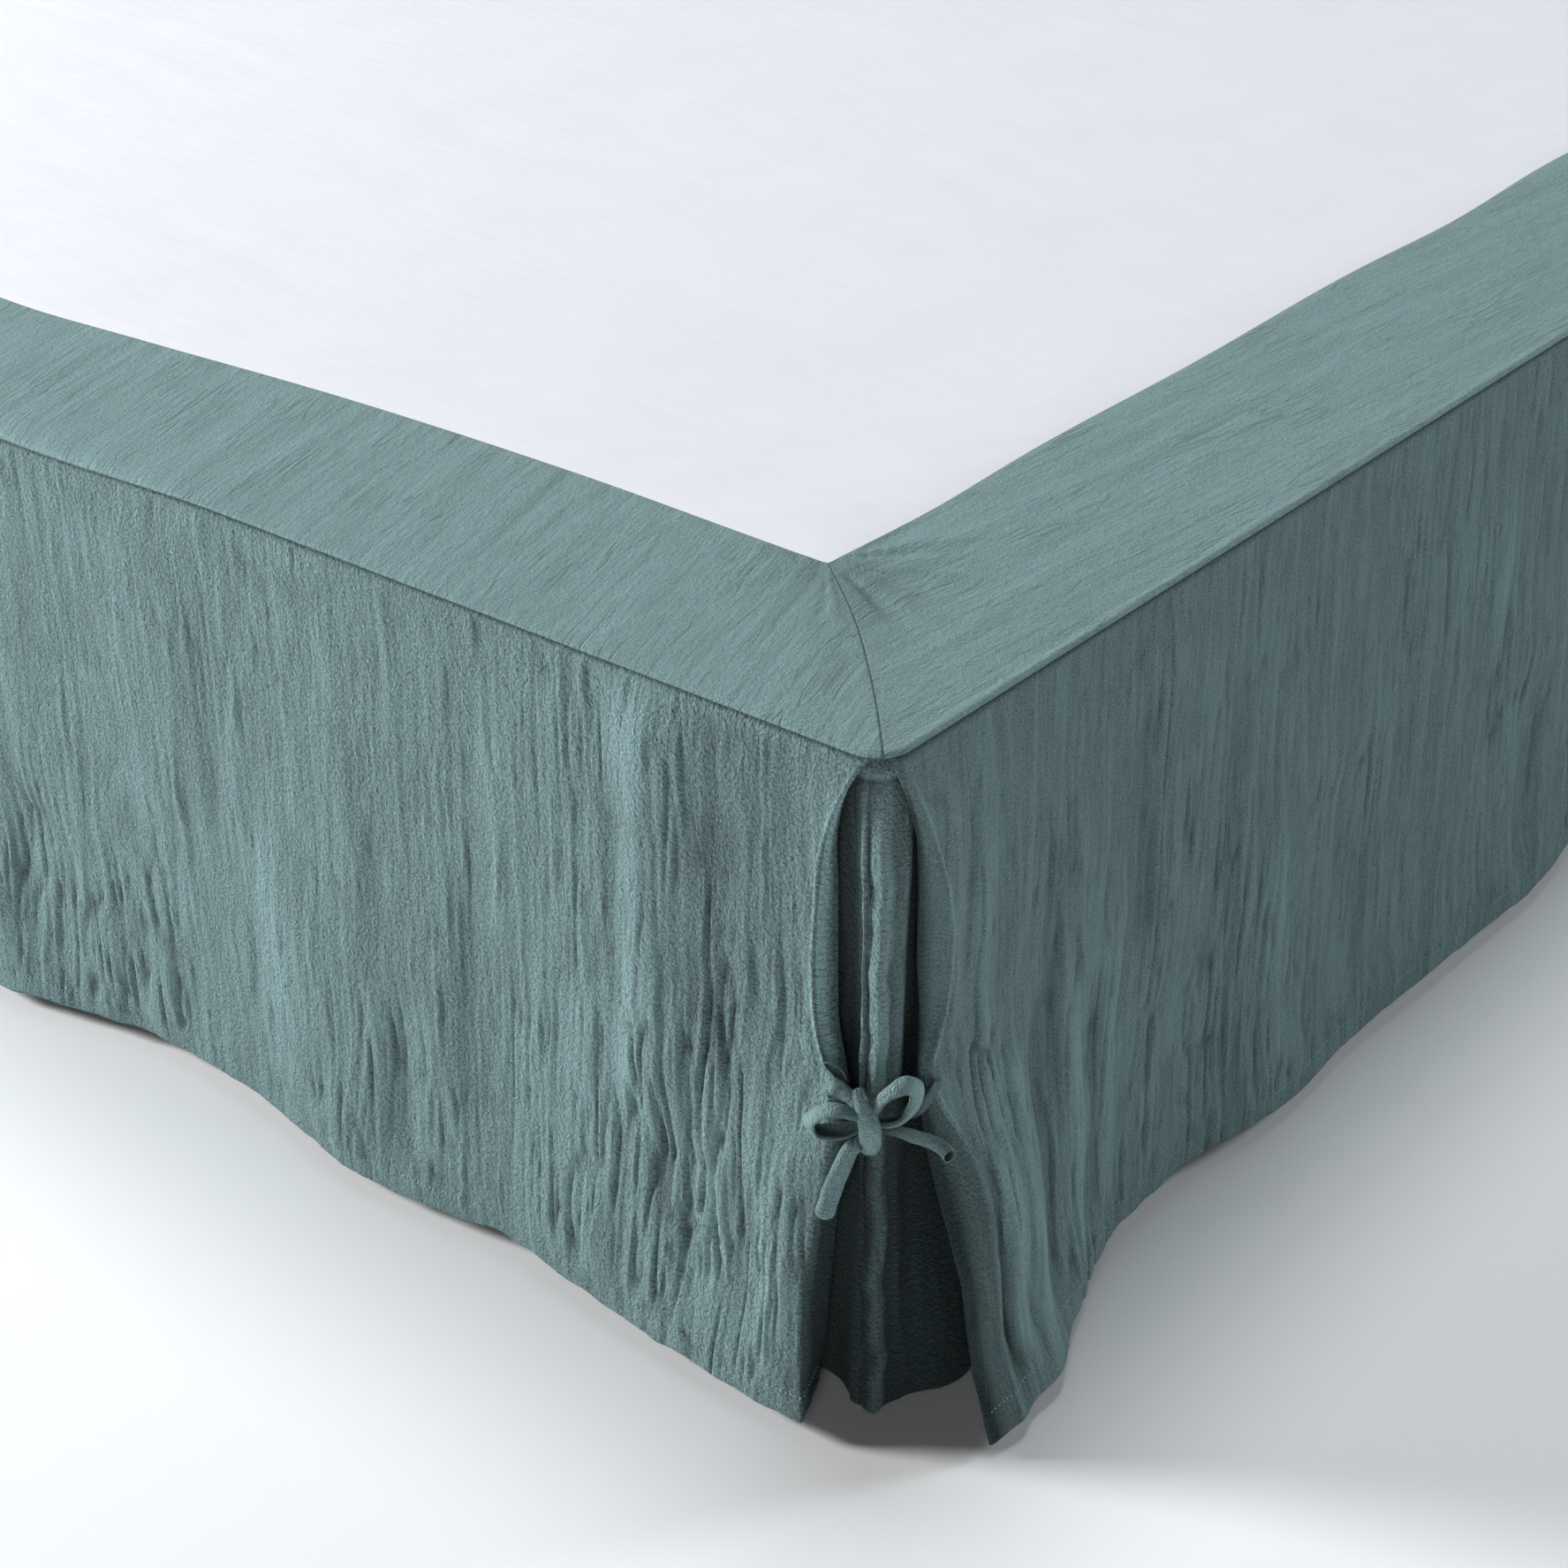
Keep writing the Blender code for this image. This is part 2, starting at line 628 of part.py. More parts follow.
def make_base():
    """The plain bed base: a box with round upright corners and soft edges."""
    low = np.array([-BED_WIDTH / 2 + BASE_INSET, FOOT_Y + BASE_INSET])
    high = np.array([BED_WIDTH / 2 - BASE_INSET, FOOT_Y + BED_LENGTH - BASE_HEAD_INSET])
    top = TOP - CLOTH - GAP
    rings = []
    for height, lift in ((BASE_BOTTOM, 1), (top - BASE_EDGE, -1)):
        angles = [0, 45, 90] if lift > 0 else [90, 45, 0]
        for degrees in angles:
            turned = math.radians(degrees)
            inset = BASE_EDGE * (1 - math.sin(turned))
            z = height + BASE_EDGE * (1 - math.cos(turned) if lift > 0 else math.cos(turned))
            outline_points = rounded_rectangle(low + inset, high - inset, BASE_CORNER - inset)
            rings.append([(x, y, z) for x, y in outline_points])
    columns = len(rings[0])
    points = [p for ring in rings for p in ring]
    faces = grid_faces(len(rings), columns, closed=True)
    faces.append(tuple(range(columns - 1, -1, -1)))
    faces.append(tuple(range((len(rings) - 1) * columns, len(rings) * columns)))
    return new_object("bed_base", points, faces, "base_cover")


def make_leg(name, x, y):
    """A tapered round leg, its foot edge a little rounded."""
    sides = 12
    profile = [(LEG_FOOT_RADIUS - 0.002, 0), (LEG_FOOT_RADIUS, 0.003), (LEG_TOP_RADIUS, BASE_BOTTOM - GAP)]
    points = []
    for radius, height in profile:
        for side in range(sides):
            angle = 2 * math.pi * side / sides
            points.append((x + radius * math.cos(angle), y + radius * math.sin(angle), height))
    faces = grid_faces(len(profile), sides, closed=True)
    faces.append(tuple(range(sides - 1, -1, -1)))
    faces.append(tuple(range((len(profile) - 1) * sides, len(profile) * sides)))
    return new_object(name, points, faces, "leg_wood")


def make_legs():
    """Six legs: one near each corner, and one half-way down each side."""
    across = BED_WIDTH / 2 - LEG_INSET
    rows = {"foot": LEG_INSET, "middle": BED_LENGTH / 2, "head": BED_LENGTH - LEG_INSET}
    for row, along in rows.items():
        for side, x in (("left", -across), ("right", across)):
            make_leg(f"leg_{row}_{side}", x, FOOT_Y + along)


def bow_points(route):
    """World points of a route beside the right foot corner: right and out lie at 45 degrees to the bed."""
    right, out, up = (np.array(route, float) * MM).T
    right, out = right + BOW_RIGHT, out + BOW_OUT
    x = BED_WIDTH / 2 + (right + out) / math.sqrt(2)
    y = FOOT_Y + (right - out) / math.sqrt(2)
    return np.stack([x, y, SEAM_HEIGHT - BOW_DROP + up], axis=-1)


def sewn_end(side):
    """Where a tie is sewn to a skirt: just off its face, beside the turned edge."""
    skirt, sewn = SKIRTS["foot" if side == "foot" else "right"], SEWN[side]
    drop = np.array([sewn["drop"]])
    along = edge_at(skirt["edge"], "fold", drop) + sewn["from_fold"]
    out = skirt_out(skirt, along, drop) + sewn["clear"] + TIE_DEPTH / 2
    return place("foot" if side == "foot" else "right", along, out, SEAM_HEIGHT - drop)


def tube(name, route, width, depth, mirrored, rings_per_span=2, sides=6):
    """A flattened tube along a smooth route, its width as near upright as the route allows."""
    spans = np.arange(len(route), dtype=float)
    at = np.linspace(0, len(route) - 1, (len(route) - 1) * rings_per_span + 1)
    path = np.stack([curve(at, spans, route[:, k]) for k in range(3)], axis=-1)
    tangent = np.gradient(path, axis=0)
    tangent /= np.linalg.norm(tangent, axis=1, keepdims=True)
    outward = np.array([1, -1, 0.35])
    thin = outward - tangent * (tangent @ outward)[:, None]
    thin /= np.linalg.norm(thin, axis=1, keepdims=True)
    wide = np.cross(tangent, thin)
    angle = 2 * math.pi * (np.arange(sides) + 0.5) / sides
    ring = wide[:, None] * np.cos(angle)[:, None] * width / 2 + thin[:, None] * np.sin(angle)[:, None] * depth / 2
    points = (path[:, None] + ring).reshape(-1, 3)
    if mirrored:
        points = points * [-1, 1, 1]
    faces = grid_faces(len(path), sides, closed=True)
    faces.append(tuple(range(sides - 1, -1, -1)))
    faces.append(tuple(range((len(path) - 1) * sides, len(path) * sides)))
    return new_object(name, points, faces, "gauze", modifiers_follow=True)


def make_tie(name, side, mirrored):
    """One tie: the end sewn to its skirt, its loop and its free end, joined where they meet in the knot."""
    routes = {
        "foot": {"core": KNOT, "loop": FOOT_LOOP, "tail": FOOT_TAIL, "strap": FOOT_STRAP},
        "side": {"core": SIDE_ROOT, "loop": SIDE_LOOP, "tail": SIDE_TAIL, "strap": SIDE_STRAP},
    }[side]
    core_width = {"foot": (0.0105, 0.0075), "side": (0.0065, 0.0060)}[side]
    core = tube(name, bow_points(routes["core"]), *core_width, mirrored)
    for part in ("loop", "tail", "strap"):
        route = bow_points(routes[part])
        if part == "strap":
            route = np.concatenate([sewn_end(side), route])
        piece = tube(f"{name}_{part}", route, TIE_WIDTH, TIE_DEPTH, mirrored)
        piece.hide_render = True
        piece.display_type = "WIRE"
        join = core.modifiers.new(part, "BOOLEAN")
        join.operation = "UNION"
        join.use_self = True
        join.object = piece
    return core


def main():
    clear_scene()
    make_base()
    make_legs()
    make_deck()
    for side in SKIRTS:
        make_band(side)
        make_skirt(side)
    for side, mirrored in (("right", False), ("left", True)):
        make_insert(f"insert_{side}", mirrored)
        make_tie(f"tie_foot_{side}", "foot", mirrored)
        make_tie(f"tie_side_{side}", "side", mirrored)


main()
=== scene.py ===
"""The looks of a bed skirt on its bed base: crinkled gauze, a white cotton deck and tied split corners.

Every piece of cloth is a closed sheet on a grid. A function gives the smooth hang of the piece, the
crinkles are added along its normals, and the back is the same hang, one cloth's thickness behind and more
coarsely divided. Along runs from the right foot corner on the foot side, and from the foot on the other two
sides; out points away from the bed and drop is measured down from the seam. All sizes are in metres, and
the numbers that a grid is divided by are the widths of what they shape.
"""

import math

import bpy
import numpy as np
from bpy.props import FloatProperty, FloatVectorProperty, PointerProperty
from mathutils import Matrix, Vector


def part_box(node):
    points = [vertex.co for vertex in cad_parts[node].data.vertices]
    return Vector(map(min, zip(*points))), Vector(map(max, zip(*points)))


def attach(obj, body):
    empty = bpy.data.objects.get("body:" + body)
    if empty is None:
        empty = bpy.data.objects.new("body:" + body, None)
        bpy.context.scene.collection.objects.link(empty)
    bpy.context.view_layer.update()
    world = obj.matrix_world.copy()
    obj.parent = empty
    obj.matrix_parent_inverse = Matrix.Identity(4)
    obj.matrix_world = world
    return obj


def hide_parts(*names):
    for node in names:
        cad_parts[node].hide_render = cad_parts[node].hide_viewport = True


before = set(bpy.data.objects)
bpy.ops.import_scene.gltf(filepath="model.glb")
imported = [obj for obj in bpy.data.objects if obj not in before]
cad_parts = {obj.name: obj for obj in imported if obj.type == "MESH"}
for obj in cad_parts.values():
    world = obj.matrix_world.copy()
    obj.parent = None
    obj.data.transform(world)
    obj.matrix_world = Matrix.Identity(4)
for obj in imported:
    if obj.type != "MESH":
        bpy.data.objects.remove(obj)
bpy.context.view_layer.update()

bl_info = {
    "name": "Tied bed skirt",
    "version": (1, 0, 0),
    "blender": (4, 5, 0),
    "location": "View3D > Sidebar > Bed skirt",
    "description": "Builds a gauze bed skirt with tied corners on a plain bed base",
    "category": "Object",
}

MM = 0.001

# Places taken from the frame.
HALF_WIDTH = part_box("band_right")[1].x
FOOT_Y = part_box("band_foot")[0].y
HEAD_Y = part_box("deck")[1].y
SEAM_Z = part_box("band_foot")[0].z
TOP_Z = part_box("deck")[1].z
BED_WIDTH = 2 * HALF_WIDTH
BED_LENGTH = HEAD_Y - FOOT_Y

# Sizes of the cloth's construction.
DROP = 0.350  # from the seam to the hem
GAP = 0.0003  # between sewn pieces, for their seam
CORNER_RADIUS = 0.017
CORNER_WIDTH = 0.136  # the border's width at a mitre
MITRE_BOW = 0.0045  # how far a mitre bends out of the straight
MITRE_EASE = 0.120  # how far along the band this bend fades
FOLD_ROUND = 0.002  # the turned-in edge's roundness
RISE = 1.3  # the power by which the hem's waves grow down the drop
SEAM_HOLD = 0.030  # how far down the seam still holds the cloth flat
HEM_EASE = 0.0015  # over this, the cloth grows as thick as the hem
FOLD_FADE = 0.050  # over this, an upright fold fades at each end
NARROW_FOLD = 0.012  # folds narrower than this also get painted shade in their hollows and painted light on their ridges
CRINKLE = 0.0016  # the crinkle height at which heights are as written
DIAGONAL = np.array([1, 1]) / math.sqrt(2)


def table(names, rows):
    """Named columns, in metres, of a table that is written in millimetres."""
    return dict(zip(names.split(), np.array(rows, float).T * MM))


# The turned-in edges beside a split: places of the turn and of the cloth's edge, from the corner and out.
FOOT_EDGE = table(
    "drop fold fold_out free free_out",
    [(0, 12, 0, 10, 0), (15, 19, 2, 18, 1), (40, 30, 0.5, 26.5, -3), (70, 35.5, -1, 29.5, -7.5),
     (112, 37.5, -1, 29.5, -8), (140, 34.5, 0.5, 27, -6), (165, 25, 4, 18, -2), (200, 22, 7, 17, 0),
     (220, 25, 9, 22, -3), (245, 29, 11, 27, -5), (285, 32, 14, 31, -6), (330, 28, 19, 35, -7),
     (350, 25, 22, 38, -7)],
)
SIDE_EDGE = table(
    "drop fold fold_out free free_out",
    [(0, 10, 0, 7, 0), (15, 17, 2, 13, 1.5), (40, 28, 4, 21, 2.5), (70, 38, 5, 28.5, -2),
     (112, 44, 5, 31.5, -4), (143, 40, 5, 33, -3), (165, 31, 5, 28, 0), (185, 36, 8, 28, 3),
     (205, 44, 14, 29, 6), (232, 48, 25, 29.5, 14), (271, 47, 34, 29, 28), (317, 48, 40, 29, 36),
     (350, 45, 55, 25, 51)],
)

# How far each hem stands out, and how low it hangs.
FOOT_HEM = table(
    "along out drop",
    [(0, 6, 352), (190, 8, 350), (232, 6, 349), (264, 11, 350), (320, 15, 351), (388, 6, 350),
     (437, 0, 349), (525, 0, 350), (562, 8, 350), (610, 18, 351), (690, 8, 350), (760, 2, 350),
     (830, 13, 351), (905, 5, 349), (985, 14, 350), (1060, 8, 351), (1130, 2, 349), (1200, 9, 350),
     (1400, 6, 352)],
)
RIGHT_HEM = table(
    "along out drop",
    [(0, 6, 355), (14, 9, 353), (26, 5, 354), (42, 10, 351), (60, 7, 352), (82, 12, 350), (120, 9, 351),
     (190, 9, 350), (267, 9, 350), (307, 17, 350), (356, 21, 351), (420, 18, 350), (479, 20, 350),
     (540, 22, 350), (645, 24, 351), (720, 14, 350), (790, 8, 349), (880, 19, 350), (970, 12, 350),
     (1040, 4, 350), (1140, 16, 351), (1230, 20, 350), (1330, 7, 349), (1430, 13, 350), (1530, 21, 351),
     (1640, 10, 350), (1740, 4, 349), (1830, 12, 350), (1900, 8, 350)],
)
LEFT_HEM = table(
    "along out drop",
    [(0, 6, 354), (196, 7, 350), (280, 16, 351), (350, 10, 350), (430, 4, 349), (520, 15, 350),
     (600, 21, 351), (690, 17, 350), (780, 7, 350), (850, 12, 350), (940, 20, 351), (1050, 9, 350),
     (1120, 3, 349), (1220, 14, 350), (1300, 18, 350), (1400, 8, 350), (1500, 15, 351), (1620, 6, 349),
     (1720, 17, 350), (1820, 10, 350), (1900, 7, 350)],
)

# Upright ridges and hollows: where, how wide, between which drops, and how far out. The wide rows are the
# main folds, and the narrow ones lie between them.
FOOT_FOLDS = table(
    "along width top bottom out",
    [(122, 24, -20, 240, 7), (85, 24, 210, 340, -4), (196, 20, 200, 360, 3), (292, 13, 210, 350, -5),
     (355, 28, 180, 370, 5), (470, 40, -20, 210, 3), (585, 22, 190, 345, -6), (700, 40, 10, 260, 4),
     (138, 9, -30, 250, 1.7), (112, 12, -30, 290, -2.2), (95, 10, 20, 200, -1.0), (930, 40, -10, 220, 3),
     (1118, 24, 200, 350, -5), (1272, 26, -20, 230, 7), (1315, 24, 210, 340, -4), (52, 7, 200, 350, 1.6),
     (70, 6, 215, 345, -1.8), (86, 7, 190, 350, 1.7), (103, 6, 170, 330, -1.5), (150, 9, 30, 190, -1.4),
     (172, 8, 150, 330, 1.2), (225, 9, 40, 200, 1.2), (248, 8, 120, 320, -1.3), (312, 9, 60, 240, -1.2),
     (392, 10, 150, 345, 1.5), (430, 10, 40, 200, -1.2), (520, 12, 170, 340, 1.8), (640, 12, 60, 260, -1.4),
     (760, 14, 120, 330, 1.6), (850, 12, 30, 210, -1.5), (1010, 14, 90, 320, 1.7)],
)
SIDE_FOLDS = table(
    "along width top bottom out",
    [(105, 18, 180, 370, -4), (150, 22, 60, 300, 3), (240, 30, -10, 240, 3), (395, 30, 150, 360, -4),
     (515, 24, 60, 300, 3), (612, 20, 180, 350, -6), (800, 40, 0, 230, 4), (1010, 30, 120, 350, -4),
     (1260, 40, 0, 260, 4), (1480, 30, 150, 360, -4), (1700, 40, 10, 260, 4), (74, 8, 150, 330, 1.8),
     (124, 8, 60, 260, -1.6), (178, 9, 140, 340, 1.5), (205, 9, 30, 210, -1.4), (55, 5, 215, 350, -2.6),
     (64, 5, 185, 355, 3.2), (91, 7, 170, 355, 2.8), (113, 6, 160, 350, -2.4), (140, 8, 150, 350, 2.6),
     (77, 5, 190, 330, -2.0), (163, 7, 170, 345, -2.0), (50, 4, 60, 165, 1.0), (58, 5, 40, 180, -1.2),
     (70, 7, 30, 190, 1.4), (285, 10, 60, 250, -1.2), (330, 10, 160, 345, 1.4), (452, 12, 50, 230, -1.5),
     (560, 9, 10, 70, -2.6), (572, 10, 60, 170, 2.0), (700, 14, 120, 330, 1.8), (900, 14, 40, 240, -1.8),
     (1120, 16, 90, 320, 2)],
)

FOOT_BORDER = table(
    "along width",
    [(0, 136), (136, 136), (300, 141), (460, 138), (610, 127), (700, 121), (790, 126), (940, 138),
     (1100, 141), (1264, 136), (1400, 136)],
)
SIDE_BORDER = table(
    "along width",
    [(0, 136), (136, 136), (210, 134), (307, 138), (460, 138), (640, 142), (760, 139), (890, 145),
     (1100, 140), (1350, 142), (1650, 138), (1900, 140)],
)

# The border's outer edge from the flat to the seam: inwards from the edge and down, at the sides, at the
# foot and where the foot's edge is soft.
BORDER_EDGE = table(
    "side_in side_down foot_in foot_down soft_in soft_down",
    [(24, 0, 24, 0, 24, 0), (15, 0, 16, 0, 16, 0.3), (9, 0.15, 10, 0.1, 11, 0.9),
     (5.5, 0.3, 6.5, 0.3, 7.5, 1.8), (3.6, 0.05, 4, 0.65, 5, 2.9), (2, 0, 2.3, 1.1, 3.1, 4),
     (1, 0.3, 1.2, 1.6, 1.7, 5.2), (0.35, 0.9, 0.5, 2.1, 0.7, 6.4), (0, 1.8, 0.15, 2.6, 0.1, 7.4),
     (0.3, 3, 0.2, 3, 0, 8)],
)
NEAR_EDGE = 0.008  # inside this, the band's rows follow the corner's curve
SOFT_FROM, SOFT_FULL = 0.40, 0.56  # from a foot corner, where the foot's edge turns soft
SOFT_SAG = 0.005  # how much lower the seam hangs there

# How far the insert lies behind the seam line, at four drops.
INSERT = table(
    "station seam middle tie hem",
    [(-112, 2.0, 3.0, 3.5, 6), (-75, 2.0, 3.5, 5.0, 11), (-50, 2.5, 4.8, 6.0, 14),
     (-36, 2.8, 9.0, 9.5, 14.5), (-26, 3.0, 12.5, 12.5, 13), (-17, 3.2, 11.5, 11.5, 8),
     (-9, 3.0, 7.5, 8.0, 3.5), (0, 2.5, 5.0, 5.8, 1.5), (9, 2.9, 3.6, 4.4, 1.5), (17, 3.2, 3.4, 4.4, 0),
     (26, 3.0, 8.0, 9.0, -5), (36, 2.8, 9.5, 9.5, -12), (50, 2.5, 4.8, 6.0, -15), (75, 2.0, 3.5, 5.0, -6),
     (112, 2.0, 3.0, 3.5, 6)],
)
# The insert's own upright folds: where, how wide, between which drops and how far out.
INSERT_FOLDS = table(
    "along width top bottom out",
    [(-0.3, 4.6, 8, 400, 3.8), (-7.2, 1.5, 8, 400, -1.8), (-10.6, 1.8, 15, 240, 2.2),
     (7.0, 1.6, 40, 260, -0.6), (13.5, 1.6, 20, 330, 0.7), (-14, 2.2, 200, 400, 1.0),
     (15, 3.2, 220, 400, 1.0), (-60, 8, 30, 300, 1.5), (60, 8, 30, 300, 1.5)],
)
# How much painted shade darkens the insert's hollows beside its upright line; below nought it is painted
# light.
INSERT_SHADE = table(
    "station shade",
    [(-112, 950), (-18, 850), (-15.5, 700), (-13, 500), (-10.3, 0), (-7.6, 350), (-5, 100), (-2.5, -200),
     (0, -350), (3, -300), (5, 0), (7, 220), (9, 260), (12, 220), (16, 280), (18.8, 550), (21.4, 900),
     (112, 950)],
)
INSERT_DROPS = np.array([0, 110, 170, 350]) * MM  # where its four columns lie
INSERT_HEM = 0.3495

# The bow's middle, from the corner's upright line: to the right as seen from outside, out and down.
BOW_RIGHT, BOW_OUT, BOW_DROP = -0.003, 0.001, 0.177

# Routes of the ties from the bow's middle, in millimetres to the right, out and up.
ROUTES = {
    "foot_wrap": [
        (-6.4, -2.5, 17), (-5.6, 1.0, 13.5), (-4.0, 3.4, 8), (-2.0, 4.6, 1), (-1.2, 4.0, -6.5),
        (-0.6, 1.5, -13), (-1.4, -2.0, -17),
    ],
    "foot_loop": [
        (-1, 0, 2), (-8, 3, 6.5), (-15.5, 3.5, 10), (-22.5, 2.5, 9), (-28, 1, 3.5), (-26, 0, -2),
        (-18, -0.5, -4), (-9, -1, -3.5), (-1, -2, -2),
    ],
    "foot_tail": [
        (-1, 0.5, -5), (-5.5, 2, -8), (-10.5, 2, -14), (-14, 1, -24.5), (-17.5, 0.3, -35.5),
        (-21.3, 0, -51),
    ],
    "foot_strap": [(-17, -9, 15.5), (-12.5, -7, 12.5), (-8, -4.5, 9.5), (-3, -1, 4)],
    "foot_thread": [
        (-22.3, -13.5, 13), (-22.6, -13, 21), (-19.0, -11, 25.5), (-13.5, -9, 23.5), (-10.6, -7, 18.5),
    ],
    "side_loop": [
        (1, 0, 0), (0.8, 2, 7.5), (3.8, 3, 14), (9.4, 2.5, 18.2), (15.2, 1, 19.0), (19.4, -1, 14.4),
        (18.6, -1, 7.2), (14.2, 0.5, 1.6), (8.6, 1.5, -0.4), (2.5, 0, -0.5),
    ],
    "side_tail": [
        (3, 0, -3.5), (12, -0.5, -6.5), (18, -3, -10.8), (25, -5, -15.4), (30, -4.5, -18), (33, -2, -19.4),
        (34.6, 1.8, -20.2),
    ],
    "side_thread": [(28.4, -17.6, 20), (29.8, -17.8, 11), (31.8, -18.2, 1)],
    "side_strap": [(24, -12, -1.5), (16, -8, -2.5), (10, -3, -2.5), (4, -1, -1)],
}
# Where each tie is sewn on: below the seam, back from the turned edge, and clear of the cloth.
SEWN = {
    "foot": {"drop": 0.160, "from_fold": 0.001, "clear": 0.0001},
    "side": {"drop": 0.171, "from_fold": 0.002, "clear": 0.0003},
}


class GauzeLook(bpy.types.PropertyGroup):
    colour: FloatVectorProperty(
        name="Colour", description="Colour of the gauze", subtype="COLOR", default=(0.186, 0.292, 0.300)
    )
    thickness: FloatProperty(
        name="Thickness", description="Thickness of the double gauze", unit="LENGTH", default=0.0016
    )
    crinkle_height: FloatProperty(
        name="Crinkle height", description="Height of an ordinary crinkle", unit="LENGTH", default=0.0016
    )


class HemLook(bpy.types.PropertyGroup):
    depth: FloatProperty(name="Depth", description="Depth of the turned hem", unit="LENGTH", default=0.013)
    thickness: FloatProperty(
        name="Thickness", description="Thickness of the turned hem", unit="LENGTH", default=0.0026
    )
    stitch_pitch: FloatProperty(
        name="Stitch pitch", description="From one hem stitch to the next", unit="LENGTH", default=0.0027
    )


class DeckLook(bpy.types.PropertyGroup):
    colour: FloatVectorProperty(
        name="Colour", description="Colour of the deck cotton", subtype="COLOR", default=(0.80, 0.81, 0.87)
    )
    wrinkle_height: FloatProperty(
        name="Wrinkle height", description="Height of the deck's wrinkles", unit="LENGTH", default=0.0012
    )


class TieLook(bpy.types.PropertyGroup):
    width: FloatProperty(name="Width", description="Width of a tie", unit="LENGTH", default=0.0085)
    depth: FloatProperty(name="Depth", description="Depth of a tie", unit="LENGTH", default=0.0050)
    knot_width: FloatProperty(
        name="Knot width", description="Width of the wrap round the knot", unit="LENGTH", default=0.0105
    )


class BaseLook(bpy.types.PropertyGroup):
    cover: FloatVectorProperty(
        name="Cover", description="Colour of the base's cover", subtype="COLOR", default=(0.52, 0.49, 0.44)
    )
    wood: FloatVectorProperty(
        name="Wood", description="Colour of the legs", subtype="COLOR", default=(0.42, 0.25, 0.12)
    )


class StageLook(bpy.types.PropertyGroup):
    floor: FloatVectorProperty(
        name="Floor", description="Colour of the floor", subtype="COLOR", default=(0.93, 0.94, 0.95)
    )
    sky: FloatProperty(name="Surrounding light", description="Strength of the even light", default=0.01)
    key: FloatProperty(
        name="Key light", description="Power of the light from the left", unit="POWER", default=170
    )
    rim: FloatProperty(
        name="Rim light", description="Power of the light from behind", unit="POWER", default=88
    )
    top: FloatProperty(name="Top light", description="Power of the light above", unit="POWER", default=306)
    front: FloatProperty(
        name="Front light", description="Power of the weak front light", unit="POWER", default=12
    )
    lens: FloatProperty(name="Lens", description="Focal length", unit="CAMERA", default=67.96)


def smooth(t):
    """0 below 0, 1 above 1, and an even S between."""
    t = np.clip(t, 0, 1)
    return t * t * (3 - 2 * t)


def bell(t):
    """1 at nought, falling off evenly both ways."""
    return np.exp(-(t**2))


def unit(vectors):
    """The vectors' directions, each one unit long."""
    return vectors / np.linalg.norm(vectors, axis=-1, keepdims=True)


def curve(at, xs, ys):
    """A smooth line through the points (xs, ys), read at the places `at`: one cubic between each two."""
    slopes = np.gradient(ys, xs)
    i = np.clip(np.searchsorted(xs, at, side="right") - 1, 0, len(xs) - 2)
    span = xs[i + 1] - xs[i]
    t = np.clip((at - xs[i]) / span, 0, 1)
    start = (1 + 2 * t) * (1 - t) ** 2 * ys[i] + t * (1 - t) ** 2 * span * slopes[i]
    return start + t * t * (3 - 2 * t) * ys[i + 1] - t * t * (1 - t) * span * slopes[i + 1]


def lattice(i, j, seed):
    """A number from -1 to 1 for each whole pair (i, j), the same each time: the pair's bits, mixed."""
    mixed = (i * 374761393 + j * 668265263 + seed * 974634777) & 0xFFFFFFFF
    mixed = ((mixed ^ (mixed >> 13)) * 1274126177) & 0xFFFFFFFF
    return ((mixed ^ (mixed >> 16)) & 0xFFFFFFFF) / 2147483648.0 - 1


def noise(u, v, seed):
    """Smooth noise from -1 to 1: lattice numbers one unit apart, blended by an even S both ways."""
    i, j = np.floor(u).astype(np.int64), np.floor(v).astype(np.int64)
    s, t = smooth(u - i), smooth(v - j)
    near = lattice(i, j, seed) * (1 - s) + lattice(i + 1, j, seed) * s
    far = lattice(i, j + 1, seed) * (1 - s) + lattice(i + 1, j + 1, seed) * s
    return near * (1 - t) + far * t


def layered(across, along, seed, layers):
    """Layers of noise added up. A layer is the width, length and height of its lumps, in millimetres, and
    its step from the seed."""
    return sum(
        high * MM * noise(across / (wide * MM), along / (long * MM), seed + step)
        for wide, long, high, step in layers
    )


# Kinds of ridges and creases in hanging gauze: half width, half length, how far apart they lie and how
# steep they are.
RIDGES = [
    (0.9 * MM, 20 * MM, 3.3 * MM, 0.24),
    (1.4 * MM, 30 * MM, 5.0 * MM, 0.20),
    (2.7 * MM, 20 * MM, 9 * MM, 0.20),
    (6.0 * MM, 36 * MM, 18 * MM, 0.07),
]


